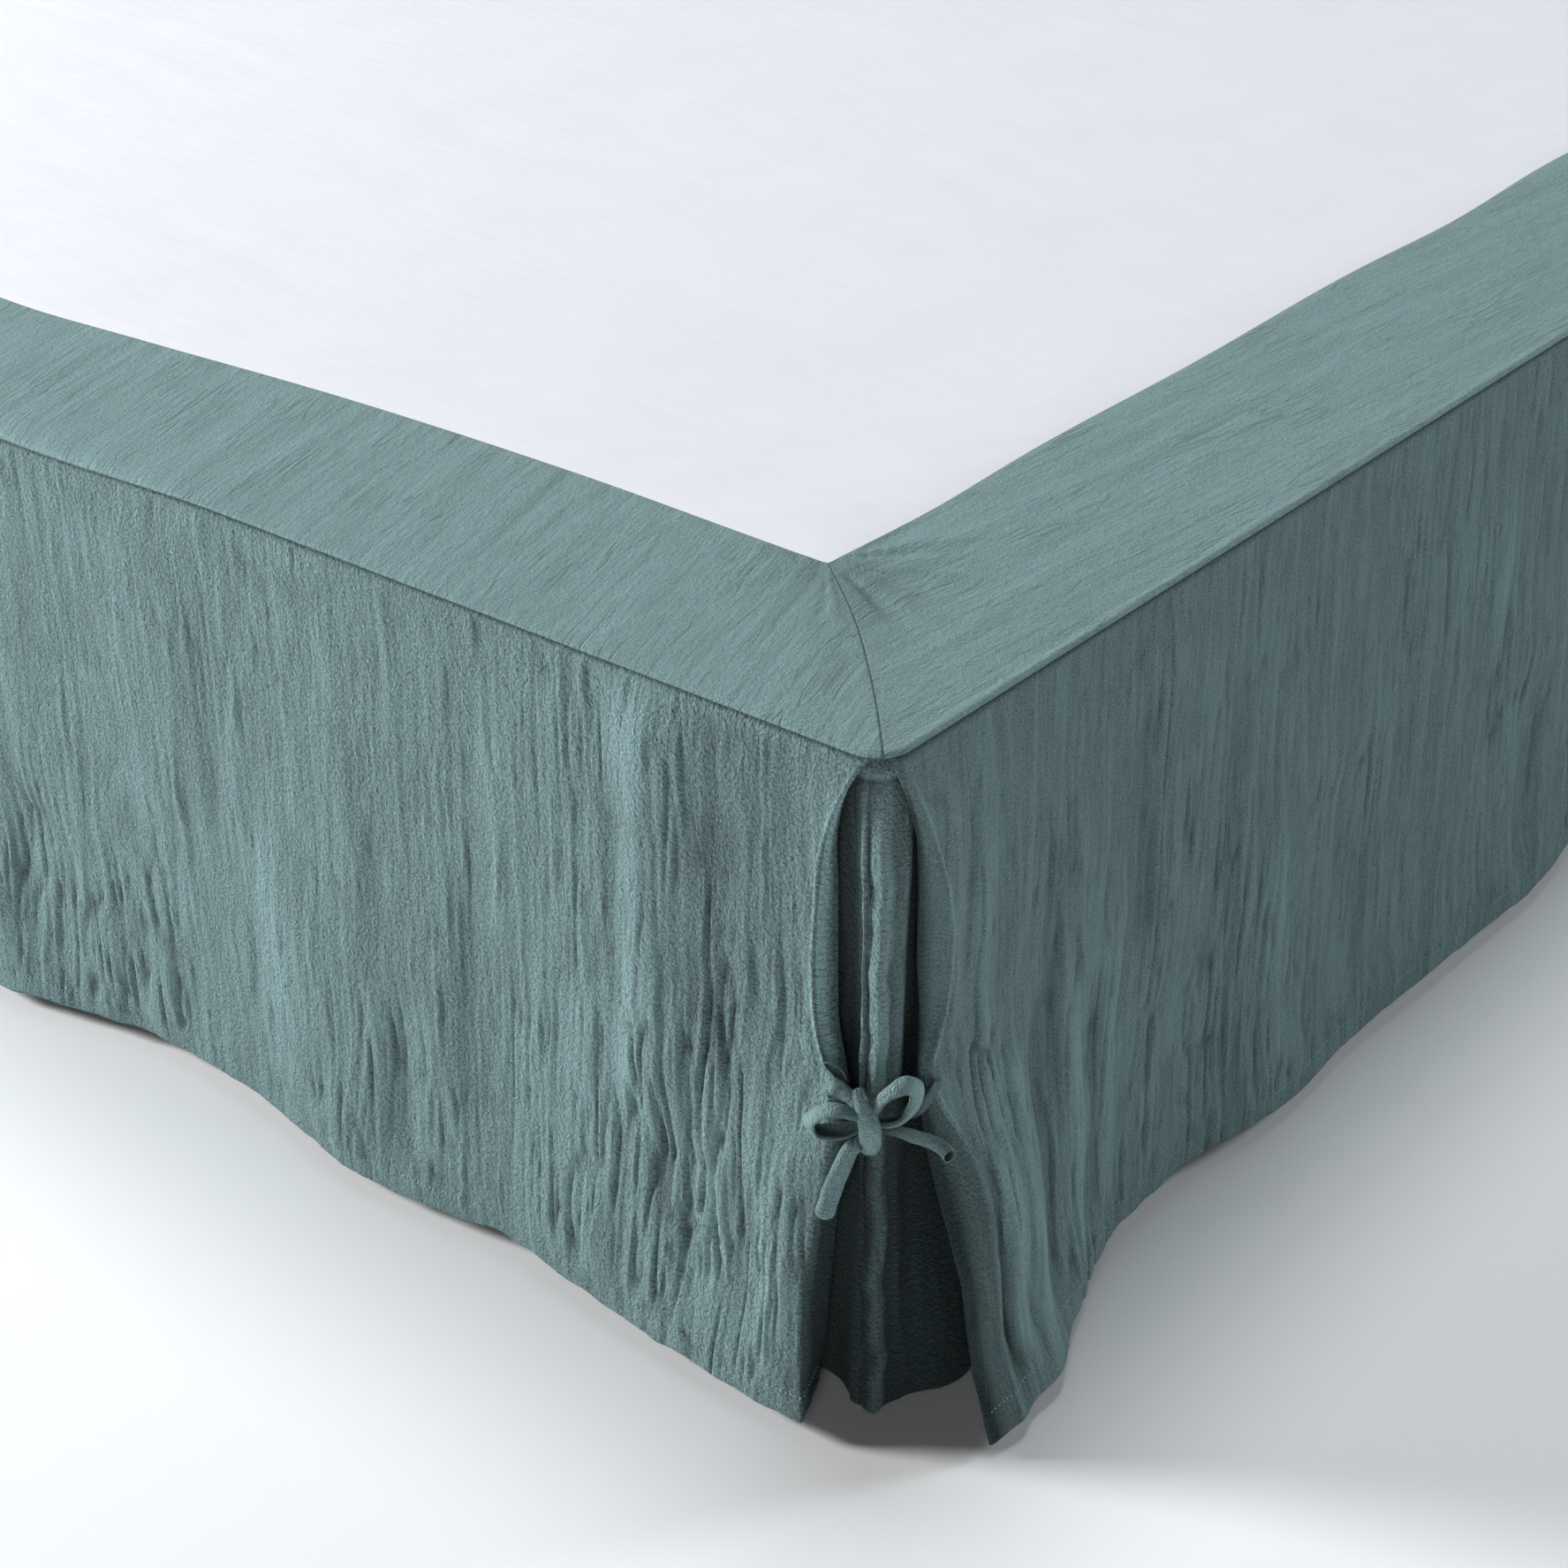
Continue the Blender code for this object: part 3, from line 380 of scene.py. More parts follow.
def ridges(across, drop, seed, strength):
    """Heights of many separate ridges and creases, the two finer kinds and the two broader: each is a bell
    across the cloth and a longer bell along it, leaning a little, and a crease is narrower than a ridge.
    Their places, sizes and leans come from the seed; `strength`, a grid of one number for each kind, scales
    them by where they lie."""
    chance = np.random.default_rng(seed)
    line, rows = across.mean(axis=0), drop[:, 0]
    heights_by_kind = np.zeros((2, *across.shape))
    for kind, (width, length, spacing, steep) in enumerate(RIDGES):
        count = int((line[-1] - line[0]) * (rows[-1] - rows[0]) / (2 * length * spacing))
        places = chance.uniform((line[0], rows[0]), (line[-1], rows[-1]), (count, 2))
        heights = chance.uniform(-1, 1, count)
        widths = width * chance.uniform(0.7, 1.6, count) * np.where(heights < 0, 0.6, 1.25)
        lengths = length * chance.uniform(0.5, 1.7, count)
        leans = chance.normal(0, 0.03, count)
        total = heights_by_kind[kind // 2]
        row = np.clip(np.searchsorted(rows, places[:, 1]), 0, len(rows) - 1)
        column = np.clip(np.searchsorted(line, places[:, 0]), 0, len(line) - 1)
        heights = steep * widths * np.sign(heights) * abs(heights) ** 0.5 * strength[kind][row, column]
        for (a, d), w, l, lean, h in zip(places, widths, lengths, leans, heights):
            i = slice(*np.searchsorted(rows, (d - 2 * l, d + 2 * l)))
            j = slice(*np.searchsorted(line, (a - 2.4 * w - 0.1 * l, a + 2.4 * w + 0.1 * l)))
            down = drop[i, j] - d
            total[i, j] += h * bell((across[i, j] - a - lean * down) / w) * bell(down / l)
    return heights_by_kind


def ribs(across, drop, wide, tall, seed):
    """Rounded ribs with narrow valleys between them, 0 in a valley and 1 on a rib: how far a stretched
    noise is from nought, so that each valley is one wandering line down the cloth."""
    far = np.minimum(abs(noise(across / wide, drop / tall, seed)) / 0.45, 1)
    return 1 - (1 - far) ** 2


def fanned(to_side, down, spread, reach, seed):
    """Folds that fan out from a point: noise over the angle round it, fading with the distance."""
    distance = np.hypot(to_side, down)
    around = noise(np.arctan2(down, to_side) / spread, distance / (0.7 * reach), seed)
    return around * smooth(distance / 0.02) * bell(distance / reach)


def roughness_at(skirt, along, drop):
    """How deeply the cloth is crumpled at each place: a base share, slow variation and named patches."""
    rough = 0.10 + 0.10 * noise(along / 0.13 + 40, drop / 0.10, skirt["seed"] + 30)
    for a, d, wide, tall, more in zip(*skirt["rumples"].values()):
        rough += more / MM * bell((along - a) / wide) * bell((drop - d) / tall)
    return np.clip(rough, 0.02, 1.5)


def kept(count, step):
    """Every step-th index of a row of points, and always the last."""
    return np.unique(np.append(np.arange(0, count, step), count - 1))


def normals(points):
    """Unit normals of a grid of points: the cross product of its two directions."""
    return unit(np.cross(np.gradient(points, axis=1), np.gradient(points, axis=0)))


def facing_out(normal, facing):
    """A grid of normals, all turned round if the middle one points away from `facing`."""
    middle = normal[len(normal) // 2, normal.shape[1] // 2]
    return normal if middle @ np.array(facing, float) > 0 else -normal


def new_piece(name, points, faces, uv, depth, finish):
    """A smooth-shaded mesh object. `faces` is a list of arrays, each holding faces of one number of
    corners; uv is each point's place on the flat cloth, in metres, and depth, -1 to 1, is painted shade:
    above nought its finish darkens it as shade down a crease or a hollow, below nought it lightens it as
    painted light."""
    loops = np.concatenate([f.ravel() for f in faces])
    totals = np.concatenate([np.full(len(f), f.shape[1]) for f in faces])
    starts = np.concatenate([[0], np.cumsum(totals)[:-1]])
    mesh = bpy.data.meshes.new(name)
    mesh.vertices.add(len(points))
    mesh.vertices.foreach_set("co", np.asarray(points, np.float32).ravel())
    mesh.loops.add(len(loops))
    mesh.loops.foreach_set("vertex_index", loops.astype(np.int32))
    mesh.polygons.add(len(starts))
    mesh.polygons.foreach_set("loop_start", starts.astype(np.int32))
    mesh.polygons.foreach_set("use_smooth", np.ones(len(starts), bool))
    mesh.update(calc_edges=True)
    mesh.uv_layers.new(name="cloth").data.foreach_set("uv", np.asarray(uv, np.float32)[loops].ravel())
    # The depth attribute carries painted shade, and painted light below nought.
    painted_shade_layer = mesh.attributes.new("depth", "FLOAT", "POINT")
    painted_shade_layer.data.foreach_set("value", np.asarray(depth, np.float32))
    mesh.set_sharp_from_angle(angle=math.radians(70))
    mesh.validate()
    mesh.materials.append(bpy.data.materials[finish])
    piece = bpy.data.objects.new(name, mesh)
    bpy.context.scene.collection.objects.link(piece)
    return piece


def quads(index):
    """The quads of a grid of point numbers."""
    corners = (index[:-1, :-1], index[:-1, 1:], index[1:, 1:], index[1:, :-1])
    return np.stack(corners, axis=-1).reshape(-1, 4)


def closed_sheet(name, face, back, uv, depth, facing, finish, coarse=(4, 4)):
    """A closed sheet of cloth between the grids `face` and `back`. The back keeps only every few rows and
    columns, and the rim's faces join each of its edges to the finer edges of the face."""
    rows, columns = face.shape[:2]
    r, c = kept(rows, coarse[0]), kept(columns, coarse[1])
    front = np.arange(rows * columns).reshape(rows, columns)
    behind = rows * columns + np.arange(len(r) * len(c)).reshape(len(r), len(c))
    faces = [quads(front), quads(behind)[:, ::-1]]
    rims = []
    for fine, coarse_row, steps in (
        (front[0], behind[0], c),
        (front[:, -1], behind[:, -1], r),
        (front[-1, ::-1], behind[-1, ::-1], columns - 1 - c[::-1]),
        (front[::-1, 0], behind[::-1, 0], rows - 1 - r[::-1]),
    ):
        for k, (a, b) in enumerate(zip(steps, steps[1:])):
            rims.append(np.concatenate([fine[a : b + 1][::-1], coarse_row[k : k + 2]]))
    for corners in sorted({len(rim) for rim in rims}):
        faces.append(np.array([rim for rim in rims if len(rim) == corners]))
    outward = np.cross(face[0, 1:] - face[0, :-1], face[1, :-1] - face[0, :-1]).mean(axis=0)
    if outward @ np.asarray(facing, float) < 0:
        faces = [f[:, ::-1] for f in faces]
    kept_back = back[np.ix_(r, c)].reshape(-1, 3)
    points = np.concatenate([face.reshape(-1, 3), kept_back])
    places = np.concatenate([uv.reshape(-1, 2), uv[np.ix_(r, c)].reshape(-1, 2)])
    depths = np.concatenate([depth.ravel(), depth[np.ix_(r, c)].ravel()])
    return new_piece(name, points, faces, places, depths, finish)


def place(side, along, out, height):
    """World points of a place on one side of the bed."""
    if side == "foot":
        return np.stack([HALF_WIDTH - along, FOOT_Y - out, height], axis=-1)
    across = HALF_WIDTH + out
    return np.stack([across if side == "right" else -across, FOOT_Y + along, height], axis=-1)


def spaced(marks, steps):
    """Places from the first mark to the last, the given step apart between each two marks."""
    counts = [max(2, round((b - a) / s) + 1) for a, b, s in zip(marks, marks[1:], steps)]
    runs = [np.linspace(a, b, n)[:-1] for a, b, n in zip(marks, marks[1:], counts)]
    return np.append(np.concatenate(runs), marks[-1])


def folds_out(folds, along, drop):
    """How far the upright folds push the cloth out: each a soft ridge, fading at its two ends."""
    total = np.zeros(np.broadcast(along, drop).shape)
    for a, wide, top, bottom, out in zip(*folds.values()):
        ends = smooth((drop - top) / FOLD_FADE) * smooth((bottom - drop) / FOLD_FADE)
        total += out * bell((along - a) / wide) * ends
    return total


def fall_out(skirt, along, drop):
    """The skirt's own fall: the hem's waves, growing down the drop, and the upright folds."""
    waves = curve(along, skirt["hem"]["along"], skirt["hem"]["out"]) * (drop / DROP) ** RISE
    return waves + folds_out(skirt["folds"], along, drop) * smooth(drop / SEAM_HOLD)


def edge_at(skirt, key, drop):
    """One column of the table of a skirt's turned-in edge, read at some drops."""
    return curve(drop, skirt["edge"]["drop"], skirt["edge"][key])


def face_out(skirt, along, drop):
    """How far a skirt's face stands out. Near a split it eases into the turned-in edge."""
    out = fall_out(skirt, along, drop)
    for corner in skirt["corners"]:
        fold = edge_at(skirt, "fold", drop)
        pull = edge_at(skirt, "fold_out", drop) - fall_out(skirt, abs(corner - fold), drop)
        reach = skirt["reach"] + (skirt["hem_reach"] - skirt["reach"]) * smooth((drop - 0.20) / 0.15)
        out = out + pull * (1 - smooth((abs(along - corner) - fold) / reach))
    return out


# Columns beside a split, as shares of the turned-in strip, of the turn and of the first of the face.
RETURN_SHARES = np.linspace(0, 1, 12)
TURN_SHARES = np.linspace(0, 1, 10)[1:]
NEAR_SHARES = np.linspace(0, 1, 44)[1:-1]
# How many columns the strip's shade takes up, and the column in the middle of the turn.
STRIP_COLUMNS = len(RETURN_SHARES) + 2
TURN_COLUMN = len(RETURN_SHARES) + len(TURN_SHARES) // 2


def split_columns(skirt, corner, drops):
    """Columns beside a split: the turned-in strip from the cloth's edge, the turn as a quadratic curve
    round the fold, and the first of the face. Given as (from the corner, out)."""
    drop = drops[:, None]
    free = np.stack([edge_at(skirt, k, drops) for k in ("free", "free_out")], axis=-1)[:, None]
    fold = np.stack([edge_at(skirt, k, drops) for k in ("fold", "fold_out")], axis=-1)[:, None]
    strip = np.linalg.norm(free - fold, axis=-1, keepdims=True)
    inside = fold + (free - fold) * np.minimum(FOLD_ROUND / strip, 0.4)

    def face(from_corner):
        return np.stack([from_corner, face_out(skirt, abs(corner - from_corner), drop)], axis=-1)

    starts = fold[..., 0] + FOLD_ROUND
    outside = face(starts)
    back = free + (inside - free) * RETURN_SHARES[:, None]
    t = TURN_SHARES[:, None]
    turn = (1 - t) ** 2 * inside + 2 * t * (1 - t) * fold + t * t * outside
    near = face(starts + (skirt["face_starts"] - starts) * NEAR_SHARES)
    return np.concatenate([back, turn, near], axis=1)


def corner_depth(skirt, along):
    """How far the border's rounded corner lies behind the straight line of its edge."""
    from_corner = np.min([abs(along - corner) for corner in skirt["corners"]], axis=0)
    inside = np.clip(CORNER_RADIUS - from_corner, 0, CORNER_RADIUS)
    return CORNER_RADIUS - np.sqrt(CORNER_RADIUS**2 - inside**2)


def softness(side, along):
    """0 where the border's edge is crisp, 1 where it is soft: along the middle of the foot."""
    if side != "foot":
        return 0 * along
    return smooth((np.minimum(along, BED_WIDTH - along) - SOFT_FROM) / (SOFT_FULL - SOFT_FROM))


def skirt_plan(skirt, drops):
    """(along, out) of every column of a skirt at each drop."""
    blocks = []
    for corner in skirt["corners"]:
        block = split_columns(skirt, corner, drops)
        if corner > 0:
            block = block[:, ::-1]
            block[..., 0] = corner - block[..., 0]
        blocks.append(block)
    along, drop = np.meshgrid(skirt["stations"], drops)
    face = np.stack([along, face_out(skirt, along, drop)], axis=-1)
    plan = np.concatenate([blocks[0], face, *blocks[1:]], axis=1)
    plan[..., 1] -= corner_depth(skirt, plan[..., 0]) * (1 - smooth(drops / SEAM_HOLD))[:, None]
    return plan


def skirt_points(side, skirt, drops):
    """World points of a skirt's smooth hang, a row for each drop, and their distances along."""
    plan = skirt_plan(skirt, drops)
    along, out = plan[..., 0], plan[..., 1]
    hem_drop = curve(along, skirt["hem"]["along"], skirt["hem"]["drop"])
    hem_drop = hem_drop + 0.0011 * noise(along / 0.013, 0 * along, skirt["seed"] + 60)
    sag = SOFT_SAG * softness(side, along) * (1 - smooth(drops / 0.09))[:, None]
    height = SEAM_Z - GAP - sag - drops[:, None] * (hem_drop - GAP) / DROP
    return place(side, along, out, height), along


# Where a skirt is crumpled deeper than elsewhere: places, sizes and how much.
FOOT_RUMPLES = table(
    "along drop wide tall more",
    [(80, 240, 45, 95, 0.8), (140, 285, 50, 75, 0.7), (205, 255, 30, 60, 0.5), (300, 290, 40, 60, 0.4),
     (370, 290, 50, 60, 0.4), (545, 285, 70, 60, 0.6), (160, 60, 35, 60, 0.05), (92, 165, 34, 60, 0.35),
     (420, 130, 60, 70, 0.2), (760, 280, 80, 60, 0.5), (1000, 250, 90, 70, 0.4), (1240, 280, 80, 70, 0.6)],
)
SIDE_RUMPLES = table(
    "along drop wide tall more",
    [(75, 190, 26, 90, 0.5), (150, 320, 40, 50, 0.6), (590, 220, 25, 50, 0.8), (330, 310, 60, 40, 0.3),
     (240, 240, 40, 60, 0.2), (760, 280, 80, 60, 0.4), (1050, 250, 90, 70, 0.4), (1400, 280, 90, 60, 0.5),
     (1750, 260, 80, 70, 0.4)],
)

# What the skirts differ in. `reach` and `hem_reach` are how far along the pull of a split reaches, above
# and at the hem, and `tied` is how low the tie pulls. `depth` scales the crinkles. The turned-in strip has
# the painted shade `strip_shade`, painted light where it is below nought; its painted shade grows by
# `strip_edge_painted_shade` towards the cloth's edge, from `strip_from` of its width on, and by `below`
# under the tie.
# `turn_width` is the width of the turn's ridge and `low_edge` what is left of it under the tie. `beside` is
# how much painted shade the face takes beside a split. The face's even columns are at `stations`, from
# `face_starts` on.
SKIRTS = {
    "foot": {
        "hem": FOOT_HEM,
        "folds": FOOT_FOLDS,
        "edge": FOOT_EDGE,
        "reach": 0.110,
        "hem_reach": 0.240,
        "tied": 0.166,
        "depth": 1.3,
        "strip_shade": -0.9,
        "strip_edge_painted_shade": 1.55,
        "strip_from": 0.35,
        "turn_width": 0.0011,
        "beside": 0.30,
        "low_edge": 0.0,
        "below": 1.40,
        "corners": [0, BED_WIDTH],
        "face_starts": 0.062,
        "rumples": FOOT_RUMPLES,
        "stations": spaced([0.062, 0.36, 0.75, BED_WIDTH - 0.062], [0.0010, 0.0014, 0.0025]),
        "facing": (0, -1, 0),
        "seed": 11,
    },
    "right": {
        "hem": RIGHT_HEM,
        "folds": SIDE_FOLDS,
        "edge": SIDE_EDGE,
        "reach": 0.130,
        "hem_reach": 0.160,
        "tied": 0.172,
        "depth": 1.5,
        "strip_shade": -0.10,
        "strip_edge_painted_shade": 1.00,
        "strip_from": 0.60,
        "turn_width": 0.0022,
        "beside": 0.0,
        "low_edge": 0.45,
        "below": 0.42,
        "corners": [0],
        "face_starts": 0.068,
        "rumples": SIDE_RUMPLES,
        "stations": spaced([0.068, 0.34, 0.75, BED_LENGTH], [0.0010, 0.0015, 0.0027]),
        "facing": (1, 0, 0),
        "seed": 47,
    },
}
SKIRTS["left"] = {
    **SKIRTS["right"],
    "hem": LEFT_HEM,
    "stations": spaced([0.068, 0.45, BED_LENGTH], [0.0020, 0.0030]),
    "facing": (-1, 0, 0),
    "seed": 83,
}


def skirt_drops(hem):
    """Rows of a skirt: close together at the seam, the hem's stitching and the hem's edge."""
    top = np.array([0, 0.5, 1.2, 2.2, 4, 6.5, 9.5]) * MM
    stitching = DROP - hem.depth + np.array([-2.6, -1.5, -0.8, -0.3, 0, 0.3, 0.8, 1.5, 2.6]) * MM
    edge = DROP - np.array([3.0, 1.2, 0.5, 0]) * MM
    body = np.linspace(top[-1], stitching[0], 58)[1:-1]
    low = np.linspace(stitching[-1], edge[0], 5)[1:-1]
    return np.concatenate([top, body, stitching, low, edge])


# Layers of a skirt's sideways wobble and of its soft unevenness.
WOBBLE = [(12, 16, 1.0, 8), (40, 50, 1.4, 9)]
UNEVEN = [(30, 42, 0.45, 6), (11, 14, 0.30, 7)]


def skirt_relief(skirt, across, drop, rough):
    """Heights of a skirt's creases, and of its whole relief: separate ridges and creases that wobble
    sideways, ribs of two sizes between them, and soft unevenness."""
    seed, deep = skirt["seed"], skirt["depth"]
    strength = [1.2 + 1.0 * rough, 0.6 + 0.9 * rough, 0.10 + 1.0 * rough, 3.2 * rough]
    wobble = layered(across, drop, seed, WOBBLE)
    creased, broad = ridges(across + wobble, drop, seed, [deep * grid for grid in strength])
    ribbed = ribs(across + 0.6 * wobble, drop, 0.0070, 0.050, seed + 12) - 0.6
    ribbed += 0.6 * (ribs(across + wobble, drop, 0.0046, 0.032, seed + 14) - 0.6)
    ribbed *= 0.7 + 0.6 * noise(across / 0.022, drop / 0.035, seed + 16)
    creased += ribbed * (0.28 * MM + 2.0 * MM * rough) * deep
    return creased, creased + broad + layered(across, drop, seed, UNEVEN)


def sewn_lift(seed, across, drop, from_stitching, hold):
    """Relief of a skirt's sewn edges: gathers at the seam and at the hem's stitching, pits above the
    stitching, its groove, and the rounded edges of the seam and the hem."""
    gathers = 0.30 * MM * bell(from_stitching / 0.006) + 0.40 * MM * bell((drop - 0.007) / 0.009)
    pits = np.maximum(noise(across / 0.011, 0 * drop, seed + 21) - 0.35, 0)
    lift = noise(across / 0.0042, drop / 0.016, seed + 20) * gathers * hold
    lift -= 3.0 * MM * pits * bell((from_stitching + 0.007) / 0.005)
    lift += 0.15 * MM * smooth(from_stitching / HEM_EASE) - 0.30 * MM * bell(from_stitching / 0.0007)
    seam, hem = 1 - smooth(drop / 0.0022), 1 - smooth((DROP - drop) / 0.0012)
    return lift - 0.7 * MM * seam - 0.9 * MM * hem**2


def dress_splits(skirt, along, across, drop, hold, lift, depth):
    """Adds each split's turned-in edge to the relief and the painted shade. The turn is a narrow ridge that
    fades below the tie, with folds fanned out from the tie. The face beside a split and below the tie takes
    painted shade;
    the turned strip takes painted shade towards the cloth's edge and painted light near the turn, and the
    turn gets a painted highlight."""
    seed, tied, low_edge = skirt["seed"], skirt["tied"], skirt["low_edge"]
    for corner in skirt["corners"]:
        # Painted shade on the face beside each split, above the tie.
        beside = np.exp(-(((abs(along - corner) - 0.078) / 0.034) ** 4))
        depth += skirt["beside"] * beside * (1 - smooth((drop - 0.15) / 0.06)) * smooth(drop / 0.012)
    # The turned strip's painted shade: painted light near the turn, painted shade towards the cloth's edge
    # and under the tie.
    inside = 1 - np.linspace(0, 1, STRIP_COLUMNS)
    shade = skirt["strip_shade"] + skirt["strip_edge_painted_shade"] * smooth(inside * 1.5 - skirt["strip_from"])
    turn_bell = bell((np.arange(STRIP_COLUMNS) - 4.5) / 1.6)
    low = drop[:, :1]
    below = skirt["below"] * smooth((low - tied) / 0.03) + 0.35 * bell((low - tied - 0.013) / 0.012)
    from_top = smooth(low / 0.03)
    # A painted highlight along the turn, fading under the tie.
    painted_turn_highlight = 0.45 * turn_bell * from_top * (1 - (1 - low_edge) * smooth((low - tied) / 0.03))
    for column, way in ((TURN_COLUMN, 1), (-1 - TURN_COLUMN, -1))[: len(skirt["corners"])]:
        from_turn = abs(across - across[:, column][:, None])
        crisp = 1 - (1 - low_edge) * smooth((drop - tied) / 0.04)
        crisp *= 0.7 + 0.6 * noise(0 * drop + column, drop / 0.012, seed + 60)
        lift += 0.7 * MM * bell(from_turn / skirt["turn_width"]) * hold * crisp
        lift += 1.6 * MM * fanned(from_turn, drop - tied, 0.16, 0.055, seed + 50) * hold
        # Painted shade beside the turn below the tie.
        depth += 0.40 * (1 - low_edge) * bell(from_turn / 0.009) * smooth((drop - tied - 0.01) / 0.05)
        from_edge = depth[:, ::way]
        from_edge[:, :STRIP_COLUMNS] = from_top * np.minimum(shade + below, 0.95)
        from_edge[:, STRIP_COLUMNS : 2 * STRIP_COLUMNS] -= painted_turn_highlight


def skirt_grid(side):
    """Face, back, flat places and painted shade and light of a skirt, on one grid."""
    skirt, gauze, hem = SKIRTS[side], bpy.context.scene.gauze_look, bpy.context.scene.hem_look
    drops = skirt_drops(hem)
    points, along = skirt_points(side, skirt, drops)
    normal = normals(points)
    normal[0, :, 2] = 0
    normal = facing_out(unit(normal), skirt["facing"])
    steps = np.linalg.norm(np.diff(points, axis=1), axis=-1)
    across = np.concatenate([np.zeros((len(drops), 1)), np.cumsum(steps, axis=1)], axis=1)
    across += (along - across)[:, len(RETURN_SHARES) + len(TURN_SHARES)][:, None]
    drop = np.broadcast_to(drops[:, None], along.shape)
    creased, relief = skirt_relief(skirt, across, drop, roughness_at(skirt, along, drop))
    from_stitching = drop - (DROP - hem.depth)
    in_hem = smooth(from_stitching / HEM_EASE)
    hold = smooth(drop / 0.005) * smooth((DROP - drop) / 0.002)
    lift = relief * gauze.crinkle_height / CRINKLE * hold * (1 - 0.35 * in_hem)
    lift += sewn_lift(skirt["seed"], across, drop, from_stitching, hold)
    # Painted shade down the creases, and painted light on the ridges.
    depth = (0.42 * smooth(-creased / 0.0007) - 0.24 * smooth(creased / 0.0008)) * hold
    # Narrow folds: painted shade in their hollows, painted light on their ridges.
    narrow = {key: column[skirt["folds"]["width"] < NARROW_FOLD] for key, column in skirt["folds"].items()}
    depth -= 0.32 * np.clip(folds_out(narrow, along, drop) / 0.0018, -1, 1)
    depth += 0.7 * bell(drop / 0.0011)
    dress_splits(skirt, along, across, drop, hold, lift, depth)
    face = points + normal * lift[..., None]
    back = points - normal * (gauze.thickness + (hem.thickness - gauze.thickness) * in_hem)[..., None]
    return face, back, np.stack([across, drop], axis=-1), np.clip(depth, -1, 1)


def finish_piece(piece, slot, *nodes):
    """What every piece needs: it rides on the part's one body, and stands for its nodes of the frame."""
    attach(piece, "root")
    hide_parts(*nodes)
    return piece


# A stitch's bead: half its width and height, how far it is raised, half its length without and with its
# tips, and how far the tips dip.
STITCH = table("wide high raised body tip dip", [(0.34, 0.30, 0.22, 0.30, 0.60, 0.35)])


def read_line(line, length, at):
    """A line of points read at given lengths along it."""
    return np.stack([np.interp(at, length, line[:, k]) for k in range(3)], axis=-1)


def lengths_along(line):
    """The length of a line of points up to each of them."""
    return np.concatenate([[0], np.cumsum(np.linalg.norm(np.diff(line, axis=0), axis=1))])


def hem_stitches(side, face, look):
    """The hem's stitches as one mesh: small beads along the stitching row, each two four-sided rings
    between two points."""
    drops = skirt_drops(look)
    row = int(np.argmin(abs(drops - (DROP - look.depth))))
    line, normal = face[row], facing_out(normals(face)[row : row + 1], SKIRTS[side]["facing"])[0]
    length = lengths_along(line)
    at = np.arange(0.004, length[-1] - 0.003, look.stitch_pitch)
    centre, up = read_line(line, length, at), read_line(normal, length, at)
    ahead = unit(read_line(line, length, at + MM) - centre)
    turn = math.pi / 2 * np.arange(4)[:, None, None]
    ring = np.cos(turn) * np.cross(ahead, up) * STITCH["wide"] + np.sin(turn) * up * STITCH["high"]
    centre = centre + up * STITCH["raised"]
    rings = [centre + s * STITCH["body"] * ahead + ring for s in (-1, 1)]
    tips = [[centre + s * STITCH["tip"] * ahead - up * STITCH["dip"]] for s in (-1, 1)]
    points = np.concatenate([*rings, *tips]).swapaxes(0, 1)
    corners = points.shape[1]
    base = np.arange(len(at))[:, None, None] * corners
    k = np.arange(4)
    after = (k + 1) % 4
    body = np.stack([k, after, 4 + after, 4 + k], axis=-1)
    ends = [np.stack([0 * k + 8, after, k], -1), np.stack([0 * k + 9, 4 + k, 4 + after], -1)]
    faces = [(base + body).reshape(-1, 4), (base + np.concatenate(ends)).reshape(-1, 3)]
    along = np.repeat(at, corners)
    uv = np.stack([along, 0 * along], axis=-1)
    return new_piece("hem_stitches_" + side, points.reshape(-1, 3), faces, uv, 0 * along, "sewing_thread")


def outline(station):
    """The border's outer edge round a foot corner, as (along the foot, out from the foot), and its
    normal: a quarter circle between two straight stretches. Station is the length from the corner's
    middle, negative towards the foot."""
    turn = CORNER_RADIUS * math.pi / 4
    angle = np.clip(station, -turn, turn) / CORNER_RADIUS + math.pi / 4
    straight = station - np.clip(station, -turn, turn)
    normal = np.stack([-np.sin(angle), np.cos(angle)], axis=-1)
    forward = np.stack([-np.cos(angle), -np.sin(angle)], axis=-1)
    centre = np.array([CORNER_RADIUS, -CORNER_RADIUS])
    return centre + CORNER_RADIUS * normal + forward * straight[..., None], normal


# The bands of the border: length, mitres by column, the tables of their inner and outer edges, steps along
# and rows across, how strong the painted highlight on the rolled lip is, how dark the seam line is and how
# much painted shade the sunk mitre takes, how high folds stand that fan out from a mitre, the lean of the
# crinkles, and a seed.
SIDE_BAND = {
    "length": BED_LENGTH,
    "mitres": (0,),
    "border": SIDE_BORDER,
    "edge": "side_",
    "steps": (0.0018, 0.0026, 0.0040),
    "rows": 44,
    "lip_painted_highlight": 1.0,
    "seam": 0.9,
    "mitre": 0.30,
    "fans": 1.4 * MM,
}
BANDS = {
    "foot": {
        "length": BED_WIDTH,
        "mitres": (0, -1),
        "border": FOOT_BORDER,
        "edge": "foot_",
        "steps": (0.0016, 0.0022, 0.0030),
        "rows": 44,
        "lip_painted_highlight": 0.15,
        "seam": 0.6,
        "mitre": 0.22,
        "fans": 1.1 * MM,
        "lean": -18,
        "seed": 131,
    },
    "right": {**SIDE_BAND, "lean": 4, "seed": 157},
    "left": {**SIDE_BAND, "steps": (0.003, 0.004, 0.005), "rows": 34, "lean": -4, "seed": 173},
}
# Where the rows round a corner lie, as shares of its turn.
CORNER_SHARES = np.array([0, 0.02, 0.05, 0.09, 0.15, 0.23, 0.33, 0.45, 0.58, 0.72, 0.86])


